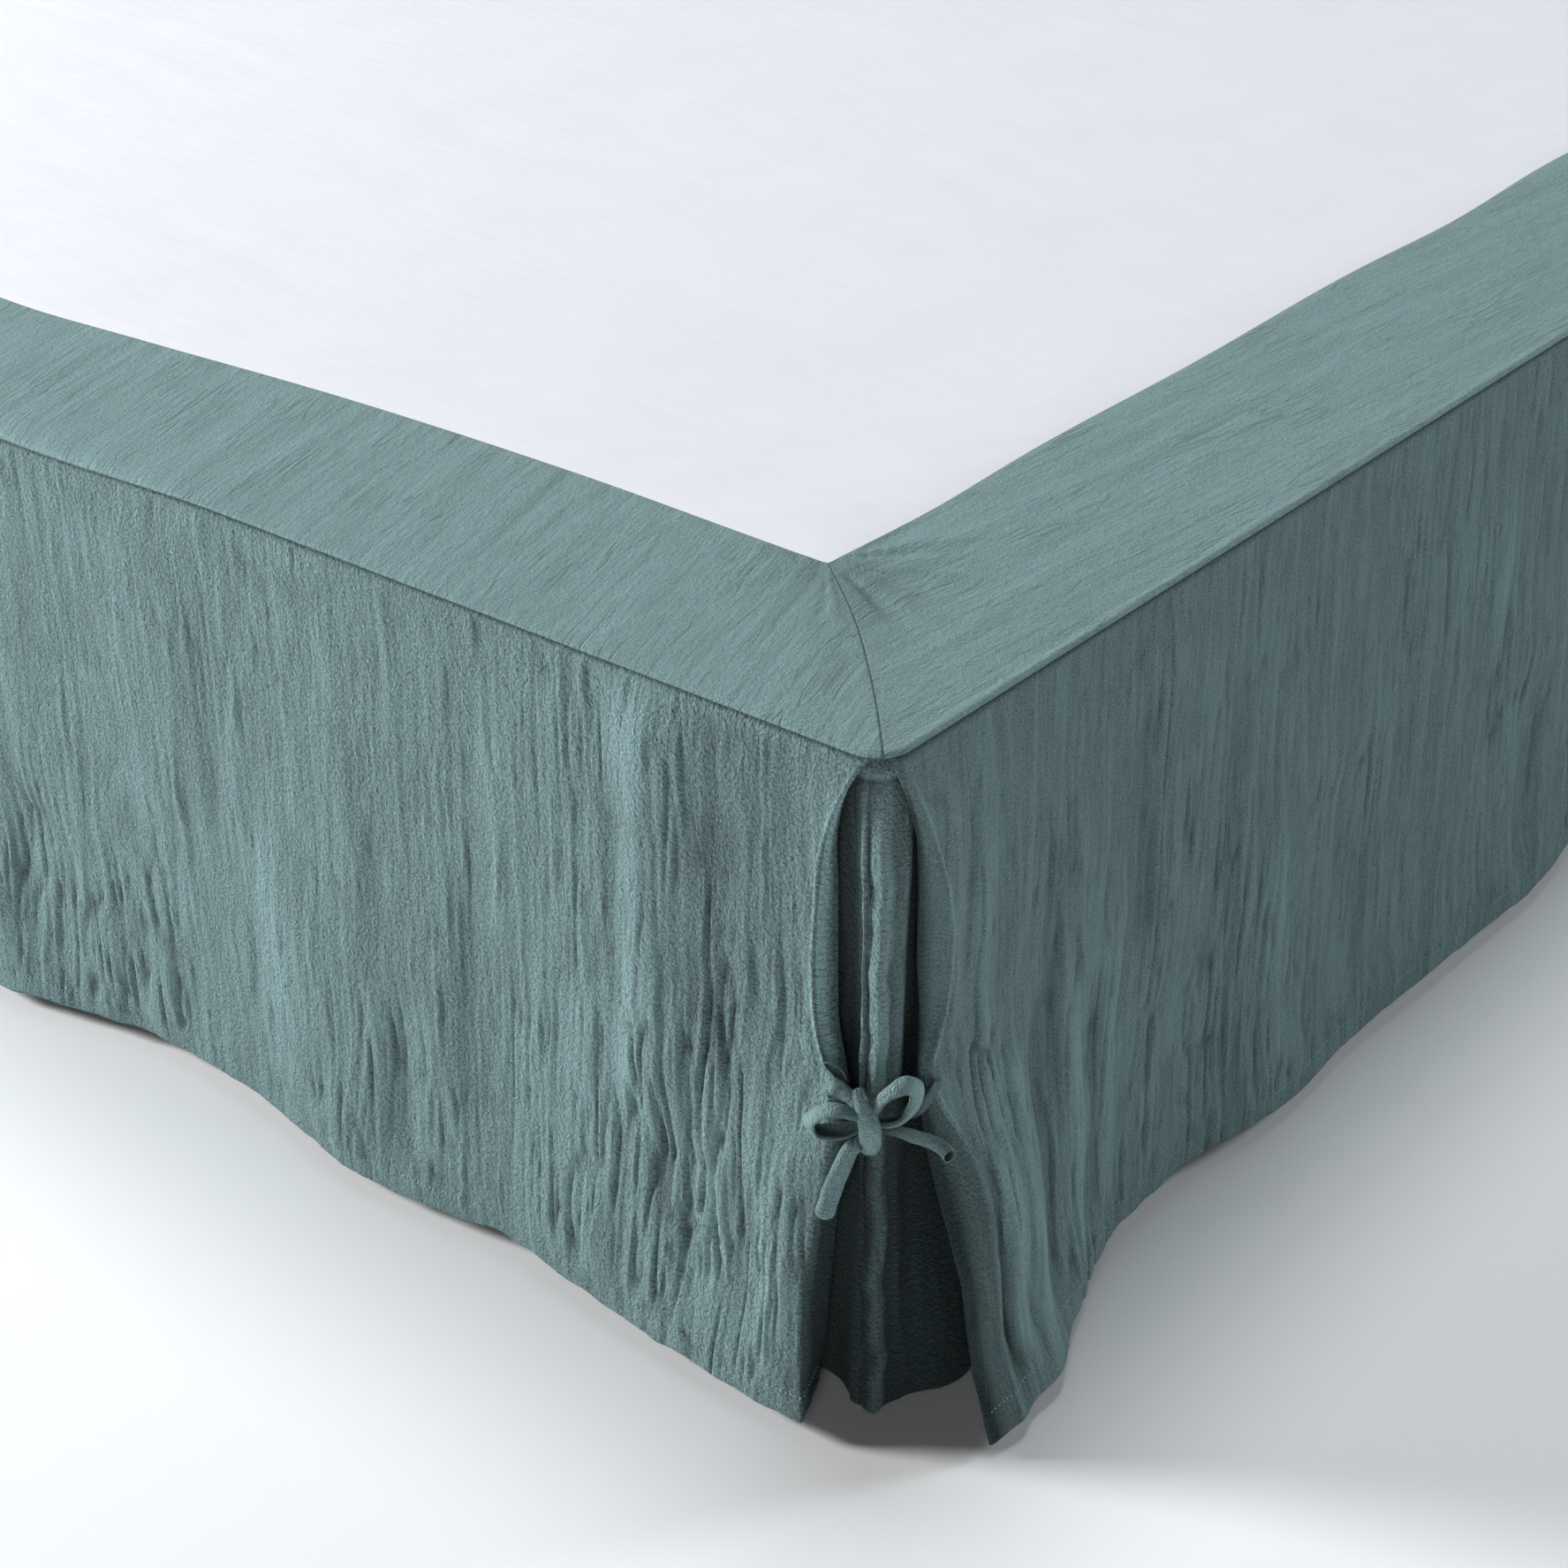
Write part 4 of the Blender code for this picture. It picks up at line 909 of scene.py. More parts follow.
def band_edges(side):
    """Inner and outer edges of a band, as points (along, out), and the outer edge's normals."""
    band = BANDS[side]
    length, corners = band["length"], len(band["mitres"])
    turn = CORNER_RADIUS * math.pi / 4
    total = length - corners * (CORNER_RADIUS - turn)
    start = turn * CORNER_SHARES
    stations = np.concatenate([start, spaced([turn, 0.40, 0.90, total], band["steps"])])
    if corners > 1:
        stations = stations[stations < total - turn]
        stations = np.concatenate([stations, [total - turn], total - start[::-1]])
    outer, normal = outline(-stations)
    if corners > 1:
        far_outer, far_normal = outline(stations - total)
        second = (stations > total / 2)[:, None]
        outer = np.where(second, far_outer * [-1, 1] + [length, 0], outer)
        normal = np.where(second, far_normal * [-1, 1], normal)
    share = (outer[:, 0] - outer[0, 0]) / (outer[-1, 0] - outer[0, 0])
    along = CORNER_WIDTH + share * (length - CORNER_WIDTH * corners)
    inner = np.stack([along, -curve(along, band["border"]["along"], band["border"]["width"])], axis=-1)
    return inner, outer, normal


# How much of the mitre's bow shows from the deck to the seam.
BOW_SHARES = np.array([0, 0.31, 0.62, 0.94, 1])
BOW_AMOUNTS = np.array([0, 1, 0.95, 0.2, 0])


def band_points(side):
    """World points of a band's smooth shape, across by along: straight from the deck to the edge, bent
    by the mitre's bow, then down over the edge to the seam."""
    band = BANDS[side]
    inner, outer, normal = band_edges(side)
    bends = [-DIAGONAL, -DIAGONAL * [-1, 1]] if side == "foot" else [DIAGONAL]
    bow = np.zeros((len(outer), 2))
    for column, bend in zip(band["mitres"], bends):
        shift = 0.3 * GAP * DIAGONAL * ([-1, 1] if column else [1, 1])
        inner[column] += shift
        outer[column] += shift
        close = 1 - smooth(abs(outer[:, 0] - outer[column, 0]) / MITRE_EASE)
        bow += close[:, None] * bend * MITRE_BOW
    soft = softness(side, outer[:, 0])
    marks = np.arange(len(BORDER_EDGE["soft_in"]), dtype=float)
    rows = np.linspace(0, marks[-1], 19)
    inset, down = (
        curve(rows, marks, BORDER_EDGE[band["edge"] + k])[:, None] * (1 - soft)
        + curve(rows, marks, BORDER_EDGE["soft_" + k])[:, None] * soft
        for k in ("in", "down")
    )
    near = outer - normal * NEAR_EDGE
    width = np.linalg.norm(near - inner, axis=-1)
    beyond = np.maximum(inset - NEAR_EDGE, 0)[..., None] * ((inner - near) / width[:, None])
    edge = outer - normal * np.minimum(inset, NEAR_EDGE)[..., None] + beyond
    flat = inner + (edge[0] - inner) * np.linspace(0, 1, band["rows"])[:-1, None, None]
    plan = np.concatenate([flat, edge])
    share = 1 - np.linalg.norm(plan - outer, axis=-1) / (width + NEAR_EDGE)
    plan = plan + bow * curve(np.clip(share, 0, 1), BOW_SHARES, BOW_AMOUNTS)[..., None]
    height = TOP_Z - np.concatenate([np.zeros((len(flat), len(outer))), down])
    return place(side, plan[..., 0], plan[..., 1], height), plan


def flat_places(points, lean):
    """Places on the cloth of points on the bed's top, its crinkles leaning by an angle from the bed's
    length."""
    cos, sin = math.cos(math.radians(lean)), math.sin(math.radians(lean))
    x, y = points[..., 0], points[..., 1]
    return np.stack([x * cos - y * sin, x * sin + y * cos], axis=-1)


BAND_CRINKLES = [(9, 45, 1.0, 0), (26, 60, 0.8, 1)]  # layers of a band's crinkles


def make_band(side):
    """A band of the border, crinkled, with a low seam at each mitre and a soft line where it meets the
    deck."""
    gauze, band = bpy.context.scene.gauze_look, BANDS[side]
    points, plan = band_points(side)
    normal = facing_out(normals(points), (0, 0, 1))
    uv = flat_places(points, band["lean"])
    u, v = uv[..., 0], uv[..., 1]
    from_deck = np.linalg.norm(plan - plan[0], axis=-1)
    from_seam = np.linalg.norm(points - points[-1], axis=-1)
    hold = smooth(from_deck / 0.004) * smooth(from_seam / 0.006)
    lift = 0.26 * gauze.crinkle_height / MM * layered(u, v, band["seed"], BAND_CRINKLES) * hold
    lift -= 0.5 * MM * bell(from_deck / 0.0010) + 0.4 * MM * bell(from_seam / 0.0008)
    # A dark seam line, and a painted highlight on the rolled lip above it.
    depth = band["seam"] * bell(from_seam / 0.0007) - band["lip_painted_highlight"] * bell((from_seam - 0.0018) / 0.0008)
    depth += 0.02 + 0.08 * np.clip(noise(u / 0.0050, v / 0.080, band["seed"] + 2), -1, 1)
    for column in band["mitres"]:
        from_mitre = np.linalg.norm(plan - plan[:, column][:, None], axis=-1)
        lift = lift * smooth(from_mitre / 0.004) - 0.22 * MM * bell(from_mitre / 0.0005)
        right, out = np.moveaxis(plan - plan[0, column], -1, 0)
        fans = fanned(right, out, 0.10, 0.075, band["seed"] + 40)
        lift += band["fans"] * fans * smooth(from_mitre / 0.008) * hold
        # Painted shade over the sunk mitre and its fanned folds.
        painted_mitre_shade = bell(from_mitre / 0.045) * bell(np.hypot(right, out) / 0.10)
        depth += band["mitre"] * painted_mitre_shade * (1 + 0.8 * fans)
        depth = np.maximum(depth, 0.62 * bell(from_mitre / 0.0005))
    face, back = points + normal * lift[..., None], points - normal * gauze.thickness
    piece = closed_sheet("gauze_band_" + side, face, back, uv, depth, (0, 0, 1), "border_gauze")
    finish_piece(piece, "gauze", "band_" + side)


def make_skirt(side):
    """A hanging skirt with its hem's stitches."""
    look = bpy.context.scene.hem_look
    face, back, uv, crease = skirt_grid(side)
    finish = "crinkled_gauze" if side == "foot" else "side_gauze"
    piece = closed_sheet("gauze_skirt_" + side, face, back, uv, crease, SKIRTS[side]["facing"], finish)
    finish_piece(piece, "gauze", "skirt_" + side)
    stitches = hem_stitches(side, face, look)
    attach(stitches, "root")


INSERT_FACING = np.array([1, -1, 0])
INSERT_WANDER = [(35, 1, 2.2, 0), (11, 1, 1.3, 1)]  # layers of how its upright line wanders


def insert_rows():
    """Rows of an insert, close together at the seam and at the hem."""
    body = np.linspace(0.020, INSERT_HEM - 0.002, 64)[1:]
    return np.concatenate([np.linspace(0, 0.020, 12), body, [INSERT_HEM - 0.0006, INSERT_HEM]])


def make_insert(side):
    """The panel behind a split: it wraps the corner, with a ridge down its middle and a hollow each side.
    Both are made as the right one, and the left one is mirrored."""
    ends = INSERT["station"][[0, -1]]
    stations = spaced([ends[0], -0.045, 0.045, ends[1]], [0.0022, 0.0007, 0.0022])
    drops = insert_rows()
    columns = [curve(stations, INSERT["station"], INSERT[k]) for k in ("seam", "middle", "tie", "hem")]
    behind = np.stack([curve(drops, INSERT_DROPS, column) for column in np.array(columns).T], axis=1)
    station, drop = np.meshgrid(stations, drops)
    moved = station + layered(drop, 0 * drop, 207, INSERT_WANDER) - 0.003 * smooth((drop - 0.17) / 0.05)
    fold = folds_out(INSERT_FOLDS, moved, drop) * smooth(drop / 0.03)
    roll = 1.6 * MM * bell((drop - 0.007) / 0.0028) - 1.5 * MM * bell((drop - 0.0135) / 0.004)
    edge, normal = outline(stations)
    plan = edge - normal * (behind - fold - roll * bell(station / 0.016))[..., None]
    points = place("foot", plan[..., 0], plan[..., 1], SEAM_Z - GAP - drop)
    out = facing_out(normals(points), INSERT_FACING)
    relief = sum(ridges(station, drop, 211, [np.full(station.shape, k) for k in (1.4, 1.5, 1.0, 0.3)]))
    hold = smooth((drop - 0.004) / 0.02) * smooth((INSERT_HEM - drop) / 0.003)
    lift = relief * hold - 0.6 * MM * (1 - smooth((INSERT_HEM - drop) / 0.0012))
    # Painted shade in the insert's hollows and painted light on its ridge, from the table.
    shade = curve(moved, INSERT_SHADE["station"], INSERT_SHADE["shade"])
    # More painted shade on the lower insert, most away from its middle.
    shade += (0.95 + 0.30 * smooth((abs(station) - 0.006) / 0.008)) * smooth((drop - 0.15) / 0.07)
    # Painted shade under the seam, in the roll's hollow and down the crinkles' creases.
    painted_tuck_shade = bell((drop - 0.0025) / 0.0012) + bell((drop - 0.0125) / 0.0018)
    depth = shade * smooth(drop / 0.02) + 0.6 * painted_tuck_shade + 0.4 * smooth(-relief / 0.0008) * hold
    depth = np.clip(depth, -1, 1)
    flip = np.array([-1 if side == "left" else 1, 1, 1])
    face = (points + out * lift[..., None]) * flip
    back = (points - out * bpy.context.scene.gauze_look.thickness) * flip
    uv, name = np.stack([station, drop], axis=-1), "gauze_insert_" + side
    piece = closed_sheet(name, face, back, uv, depth, INSERT_FACING * flip, "crinkled_gauze")
    finish_piece(piece, "gauze", "insert_" + side)


def make_deck():
    """The white deck, fitted to the border: its two side lines blended across, shifted by how far the
    foot's line leaves the straight, with a few soft wrinkles that die out at the border."""

    def border_line(side):
        inner = band_edges(side)[0] - [0, GAP]
        return place(side, inner[:, 0], inner[:, 1], inner[:, 0])[:, :2]

    def read(line, at, axis):
        share = (line[:, axis] - line[0, axis]) / (line[-1, axis] - line[0, axis])
        return np.stack([np.interp(at, share, line[:, k]) for k in (0, 1)], axis=-1)

    u, v = np.meshgrid(np.linspace(0, 1, 170), spaced([0, 0.25, 1], [0.0036, 0.007]))
    foot, u2 = border_line("foot")[::-1], u[..., None]
    left, right = (read(border_line(side), v, 1) for side in ("left", "right"))
    straight = foot[0] * (1 - u2) + foot[-1] * u2
    plan = left * (1 - u2) + right * u2 + (read(foot, u, 0) - straight) * (1 - v[..., None])
    x, y = plan[..., 0], plan[..., 1]
    from_edge = np.minimum(np.minimum(u, 1 - u) * 1.13, np.minimum(v, 1 - v + 0.02) * 1.78)
    wander = 0.03 * noise(x / 0.12, y / 0.12, 301)
    streaks = noise((x + wander) / 0.16, (y - wander) / 0.028, 303) + 0.6 * noise(x / 0.045, y / 0.07, 307)
    gathers = noise((x - y) / 0.020, (x + y) / 0.10, 311) * bell((from_edge - 0.03) / 0.05)
    wrinkles = (0.30 + 0.28 * streaks + 0.34 * gathers) * smooth(from_edge / 0.035)
    lift = np.maximum(bpy.context.scene.deck_look.wrinkle_height * wrinkles, -0.4 * MM)
    face = np.stack([x, y, TOP_Z + lift - 0.5 * MM * bell(from_edge / 0.0015)], axis=-1)
    back = np.stack([x, y, 0 * x + TOP_Z - bpy.context.scene.gauze_look.thickness], axis=-1)
    piece = closed_sheet("cotton_deck", face, back, plan, 0 * x, (0, 0, 1), "white_cotton")
    finish_piece(piece, "deck_cotton", "deck")


def bow_direction(right, out, up):
    """World direction of one given to the right, out and up at the right foot corner."""
    return np.array([(right + out) / math.sqrt(2), (right - out) / math.sqrt(2), up])


def bow_points(route):
    """World points of a route beside the right foot corner: right and out lie at 45 degrees to the bed."""
    right, out, up = (np.array(route, float) * MM).T
    turned = bow_direction(right + BOW_RIGHT, out + BOW_OUT, up).T
    return turned + [HALF_WIDTH, FOOT_Y, SEAM_Z - BOW_DROP]


def along_tube(share, values):
    """Evenly spread values, numbers or vectors, read at shares of a tube's length."""
    values = np.array(values, float)
    marks = np.linspace(0, 1, len(values))
    columns = [np.interp(share, marks, column) for column in values.reshape(len(values), -1).T]
    return np.stack(columns, axis=-1)


def off(vectors, direction):
    """The part of some vectors that lies square to a direction."""
    return vectors - direction * (direction * vectors).sum(axis=-1, keepdims=True)


END_ROUND, TUBE_GIRTH = 0.0012, 0.022  # how far a tube's end is rounded, and the tube's way round
# The rings of a tube's hollow end: how wide as a share, how far back into the tube and how far along the
# cloth, in millimetres, and how much painted shade they take.
HOLLOW_RINGS = [(0.82, 0.1, 0.6, 0.3), (0.76, 2.6, 3.0, 0.9), (0.66, 5.0, 5.5, 1.0)]


def soft_tube(route, wide, widths, depths, seed, shade, inner=0.0, hollow_end=False, sides=22, rings=11):
    """A soft sewn tube along a smooth route: ovals whose width points as near `wide` as the route lets
    it, their size varying along the route and rumpled by noise, closed at both ends. A hollow end turns
    back into the tube. `shade` is the painted shade along the route, painted light where it is below
    nought, and
    `inner` how much more painted shade falls on the side that faces the middle of the route's bend. Gives
    its points, faces, flat places and painted shade."""
    spans = np.arange(len(route), dtype=float)
    at = np.linspace(0, spans[-1], (len(route) - 1) * rings + 1)
    path = np.stack([curve(at, spans, route[:, k]) for k in range(3)], axis=-1)
    share = at / at[-1]
    width, depth = along_tube(share, widths), along_tube(share, depths)
    tangent = unit(np.gradient(path, axis=0))
    across = unit(off(along_tube(share, wide), tangent))
    thin = np.cross(tangent, across)
    length = lengths_along(path)
    angle = 2 * math.pi * np.arange(sides) / sides
    around, down = np.broadcast_arrays(angle, length[:, None])
    rumple = 1 + 0.10 * noise(around * 1.6, down / 0.006, seed)
    rumple += 0.05 * noise(around * 3.5, down / 0.0022, seed + 1)
    rumple = rumple * 0.5 + rumple[:, ::-1] * 0.5
    cos, sin = np.cos(angle), np.sin(angle)
    flat = np.sign(cos) * abs(cos) ** 0.9
    ring = across[:, None] * (flat * width / 2 * rumple)[..., None]
    ring = ring + thin[:, None] * (sin * depth / 2 * rumple)[..., None]
    from_end = length if hollow_end else np.minimum(length, length[::-1])
    rounding = np.sqrt(np.clip(1 - (1 - from_end / END_ROUND).clip(0) ** 2, 0.2, 1))
    points = path[:, None] + ring * rounding[:, None, None]
    # Painted shade along the route, and more on the inner side of a bend.
    inward = unit(off(off(path.mean(axis=0) - path, tangent), across))
    facing = ((thin * inward).sum(axis=1)[:, None] * sin).clip(0)
    dark = along_tube(share, shade) + inner * smooth(facing * 1.7 - 0.3)
    if hollow_end:
        share, back, further, darker = np.array(HOLLOW_RINGS).T[:, :, None]
        into = (points[-1] - path[-1]) * share[..., None] - tangent[-1] * back[..., None] * MM
        points = np.concatenate([points, path[-1] + into])
        length = np.append(length, length[-1] + further * MM)
        dark = np.concatenate([dark, darker + 0 * dark[:3]])
    index = np.arange(len(points) * sides).reshape(-1, sides)
    faces = [quads(np.concatenate([index, index[:, :1]], axis=1)), index[:1, ::-1], index[-1:]]
    uv = np.stack(np.broadcast_arrays(angle / (2 * math.pi) * TUBE_GIRTH, length[:, None]), axis=-1)
    return points.reshape(-1, 3), faces, uv.reshape(-1, 2), np.clip(dark, -1, 1).ravel()


def turned_out(points, faces):
    """The faces, all reversed if they bound a negative volume."""
    pairs = [(f, i) for f in faces for i in range(1, f.shape[1] - 1)]
    fans = np.concatenate([f[:, [0, i, i + 1]] for f, i in pairs])
    a, b, c = (points[fans[:, k]] for k in range(3))
    return faces if (a * np.cross(b, c)).sum() > 0 else [f[:, ::-1] for f in faces]


def sewn_place(side):
    """Where a tie is sewn to a skirt: just off its face, beside the turned edge."""
    skirt_side = "foot" if side == "foot" else "right"
    skirt, sewn = SKIRTS[skirt_side], SEWN[side]
    drop = np.array([sewn["drop"]])
    along = edge_at(skirt, "fold", drop) + sewn["from_fold"]
    out = face_out(skirt, along, drop) + sewn["clear"] + 2 * MM
    return place(skirt_side, along, out, SEAM_Z - drop)


# Directions that a tie's width points in. Out and up lean a little towards each other.
RIGHT, OUT, UP = bow_direction(1, 0, 0), bow_direction(0, 1, 0.25), bow_direction(0, 0.1, 1)


def tube(name, *shape, **more):
    """A tube along one of the routes. A strap starts where its tie is sewn on."""
    route = bow_points(ROUTES[name])
    side, part = name.split("_")
    if part == "strap":
        route = np.concatenate([sewn_place(side), route])
    wide, widths, depths, *rest = shape
    return soft_tube(route, wide, np.array(widths) * MM, np.array(depths) * MM, *rest, **more)


def foot_tubes(w, d, knot):
    """The foot tie's wrap, loop, tail, strap and loose thread, from its width, its depth and the knot's
    width in millimetres."""
    thread = {"sides": 6, "rings": 6}
    loop = [OUT, OUT - 0.5 * UP, OUT - 0.5 * UP, OUT + 0.6 * RIGHT, OUT - 0.4 * UP, OUT - 0.6 * UP, OUT]
    loop_widths, loop_depths = [4.5, w - 1, w, w, w + 1, w + 1, 4.5], [4.5, 3.4, 3.0, 3.4, 4.5]
    # The shades are painted shade along each tube; below nought they are painted light.
    loop_shade, wrap_shade = (0.4, -0.3, -0.4, -0.2, -0.1, 0.6), (0.3, -0.3, -0.4, -0.2, 0.4)
    wrap_widths, wrap_depths = [4.6, 6.2, 9.0, knot, 8.5, 6.5], [3.0, 5.0, 7.5, 7.0, 4.5]
    strap_widths, strap_depths = [w + 3, w + 3, w, 6], [2.2, 3.5, 4.5, 5]
    return [
        tube("foot_wrap", [RIGHT], wrap_widths, wrap_depths, 401, wrap_shade, rings=14),
        tube("foot_loop", loop, loop_widths, loop_depths, 409, loop_shade, 1.2),
        tube("foot_tail", [UP, RIGHT, RIGHT], [5.5, w, w + 1], [5, d], 419, (0.8, 0, -0.1, -0.1)),
        tube("foot_strap", [UP], strap_widths, strap_depths, 421, (0.1, 0.0, 0.1, 0.6)),
        tube("foot_thread", [OUT], [0.7], [0.7], 425, [-0.8], **thread),
    ]


def side_tubes(w, d):
    """The side tie's loop, hollow tail, strap and loose thread, from its width and depth in millimetres."""
    thread = {"sides": 6, "rings": 6}
    loop = [OUT, OUT + 0.4 * RIGHT, OUT + 0.3 * RIGHT - 0.5 * UP, OUT - 0.8 * UP]
    loop += [OUT - 0.9 * RIGHT - 0.6 * UP, OUT - RIGHT + 0.3 * UP, OUT + 0.5 * UP, OUT]
    loop_widths, loop_depths = [4.5, 6.5, 7, w + 1, w + 2, w + 1, w - 0.5, 5], [4.5, 3.8, 3.6, 3.8, 4.5]
    tail_widths, tail_depths = [4.5, w - 1.5, w - 1], [4.5, d, d + 1.2]
    strap_widths, strap_depths = [w + 1, w, 6, 5], [2.2, 3.5, 4.5, 5]
    # The shades are painted shade along each tube; below nought they are painted light.
    return [
        tube("side_loop", loop, loop_widths, loop_depths, 431, (0.5, -0.3, -0.5, -0.45, -0.2, 0.4), 1.1),
        tube("side_tail", [UP], tail_widths, tail_depths, 433, (0.8, 0.1, -0.1, -0.2), hollow_end=True),
        tube("side_strap", [UP], strap_widths, strap_depths, 439, (0.3, 0.6, 0.8, 0.9)),
        tube("side_thread", [OUT], [0.8], [0.8], 443, [-0.8], **thread),
    ]


def make_tie(side, corner):
    """One tie of a corner's bow: its sewn end, its loop and its free end, and on the foot side's tie the
    wrap round the knot. The tubes run into each other inside the knot."""
    look = bpy.context.scene.tie_look
    w, d, knot = look.width / MM, look.depth / MM, look.knot_width / MM
    flip = [-1 if corner == "left" else 1, 1, 1]
    start, faces, rows = 0, [], []
    for points, tube_faces, uv, dark in foot_tubes(w, d, knot) if side == "foot" else side_tubes(w, d):
        points = points * flip
        faces += [f + start for f in turned_out(points, tube_faces)]
        rows.append((points, uv, dark))
        start += len(points)
    points, uv, dark = (np.concatenate(row) for row in zip(*rows))
    piece = new_piece(f"gauze_tie_{side}_{corner}", points, faces, uv, dark, "smooth_gauze")
    finish_piece(piece, "gauze", f"tie_{side}_{corner}")


# The gauze's fine relief in its finishes: width, length and height of the lumps, in millimetres. The lines
# lie in patches of the size `patch`, and `speckle` is how strongly the threads' two tones show.
FINISHES = {
    "crinkled_gauze": {
        "streaks": (3.4, 45, 1.1),
        "lines": (5.0, 60, 12.0),
        "uneven": (2.5, 2.7, 5.0),
        "threads": (1.35, 1.45, 3.0),
        "patch": (16, 34),
        "speckle": 0.95,
    },
    "side_gauze": {
        "streaks": (3.4, 45, 1.1),
        "lines": (5.0, 60, 12.0),
        "uneven": (2.3, 2.5, 4.0),
        "threads": (0.95, 1.05, 2.4),
        "patch": (16, 34),
        "speckle": 0.90,
    },
    "border_gauze": {
        "streaks": (4.5, 90, 1.0),
        "lines": (9, 95, 13),
        "uneven": (2.6, 3.0, 1.1),
        "threads": (1.0, 1.1, 0.7),
        "patch": (34, 60),
        "speckle": 0.65,
    },
    "smooth_gauze": {
        "streaks": (3.0, 12, 0.3),
        "lines": (4.0, 20, 1.0),
        "uneven": (2.2, 2.4, 2.2),
        "threads": (0.9, 1.0, 1.8),
        "patch": (16, 34),
        "speckle": 0.90,
    },
}


class Finish:
    """A material while its nodes are made. Sizes are in millimetres on the cloth, or on the piece itself
    where it has no flat places."""

    def __init__(self, name, colour, roughness, specular, sheen=0.0, flat=True):
        made = bpy.data.materials.new(name)
        made.use_nodes = True
        self.colour, self.tree = tuple(colour), made.node_tree
        made.diffuse_color = self.tint(1)
        self.shader = self.tree.nodes["Principled BSDF"]
        self.shader.inputs["Base Color"].default_value = self.tint(1)
        self.shader.inputs["Roughness"].default_value = roughness
        self.shader.inputs["Specular IOR Level"].default_value = specular
        self.shader.inputs["Sheen Weight"].default_value = sheen
        self.shader.inputs["Sheen Roughness"].default_value = 0.6
        if flat:
            self.here = self.node("ShaderNodeUVMap", uv_map="cloth").outputs[0]
        else:
            self.here = self.node("ShaderNodeTexCoord").outputs["Object"]

    def tint(self, share):
        """The colour, made darker or lighter."""
        return (*(min(1, c * share) for c in self.colour), 1)

    def node(self, kind, inputs=None, **settings):
        """A node with its settings, and its inputs given as values or as other nodes' sockets."""
        node = self.tree.nodes.new(kind)
        for key, value in settings.items():
            setattr(node, key, value)
        for key, value in (inputs or {}).items():
            if isinstance(value, bpy.types.NodeSocket):
                self.tree.links.new(value, node.inputs[key])
            else:
                node.inputs[key].default_value = value
        return node

    def math(self, operation, a, b=0.5):
        return self.node("ShaderNodeMath", {0: a, 1: b}, operation=operation).outputs[0]

    def shared(self, a, b, share):
        """Two values added by their shares, the second's being what the first leaves."""
        return self.math("ADD", self.math("MULTIPLY", a, share), self.math("MULTIPLY", b, 1 - share))

    def vector(self, operation, a, b):
        return self.node("ShaderNodeVectorMath", {0: a, 1: b}, operation=operation).outputs[0]

    def lumps(self, across, along, detail=1.0, moved=None):
        """A noise whose lumps are `across` wide and `along` long."""
        scale = (1 / (across * MM), 1 / (along * MM), 1 / (along * MM))
        scaled = self.vector("MULTIPLY", moved or self.here, scale)
        inputs = {"Vector": scaled, "Scale": 1.0, "Detail": detail, "Roughness": 0.55}
        return self.node("ShaderNodeTexNoise", inputs).outputs["Fac"]

    def mapped(self, value, low, high, to_low=0.0, to_high=1.0):
        """A value from `low` to `high`, mapped onto another range and kept inside it."""
        ends = {"From Min": low, "From Max": high, "To Min": to_low, "To Max": to_high}
        return self.node("ShaderNodeMapRange", {"Value": value, **ends}).outputs[0]

    def mix(self, amount, first, second):
        return self.node("ShaderNodeMix", {0: amount, 6: first, 7: second}, data_type="RGBA").outputs[2]

    def relief(self, height, distance, strength):
        bump = self.node("ShaderNodeBump", {"Height": height, "Distance": distance, "Strength": strength})
        self.tree.links.new(bump.outputs[0], self.shader.inputs["Normal"])

    def paint(self, colour):
        self.tree.links.new(colour, self.shader.inputs["Base Color"])


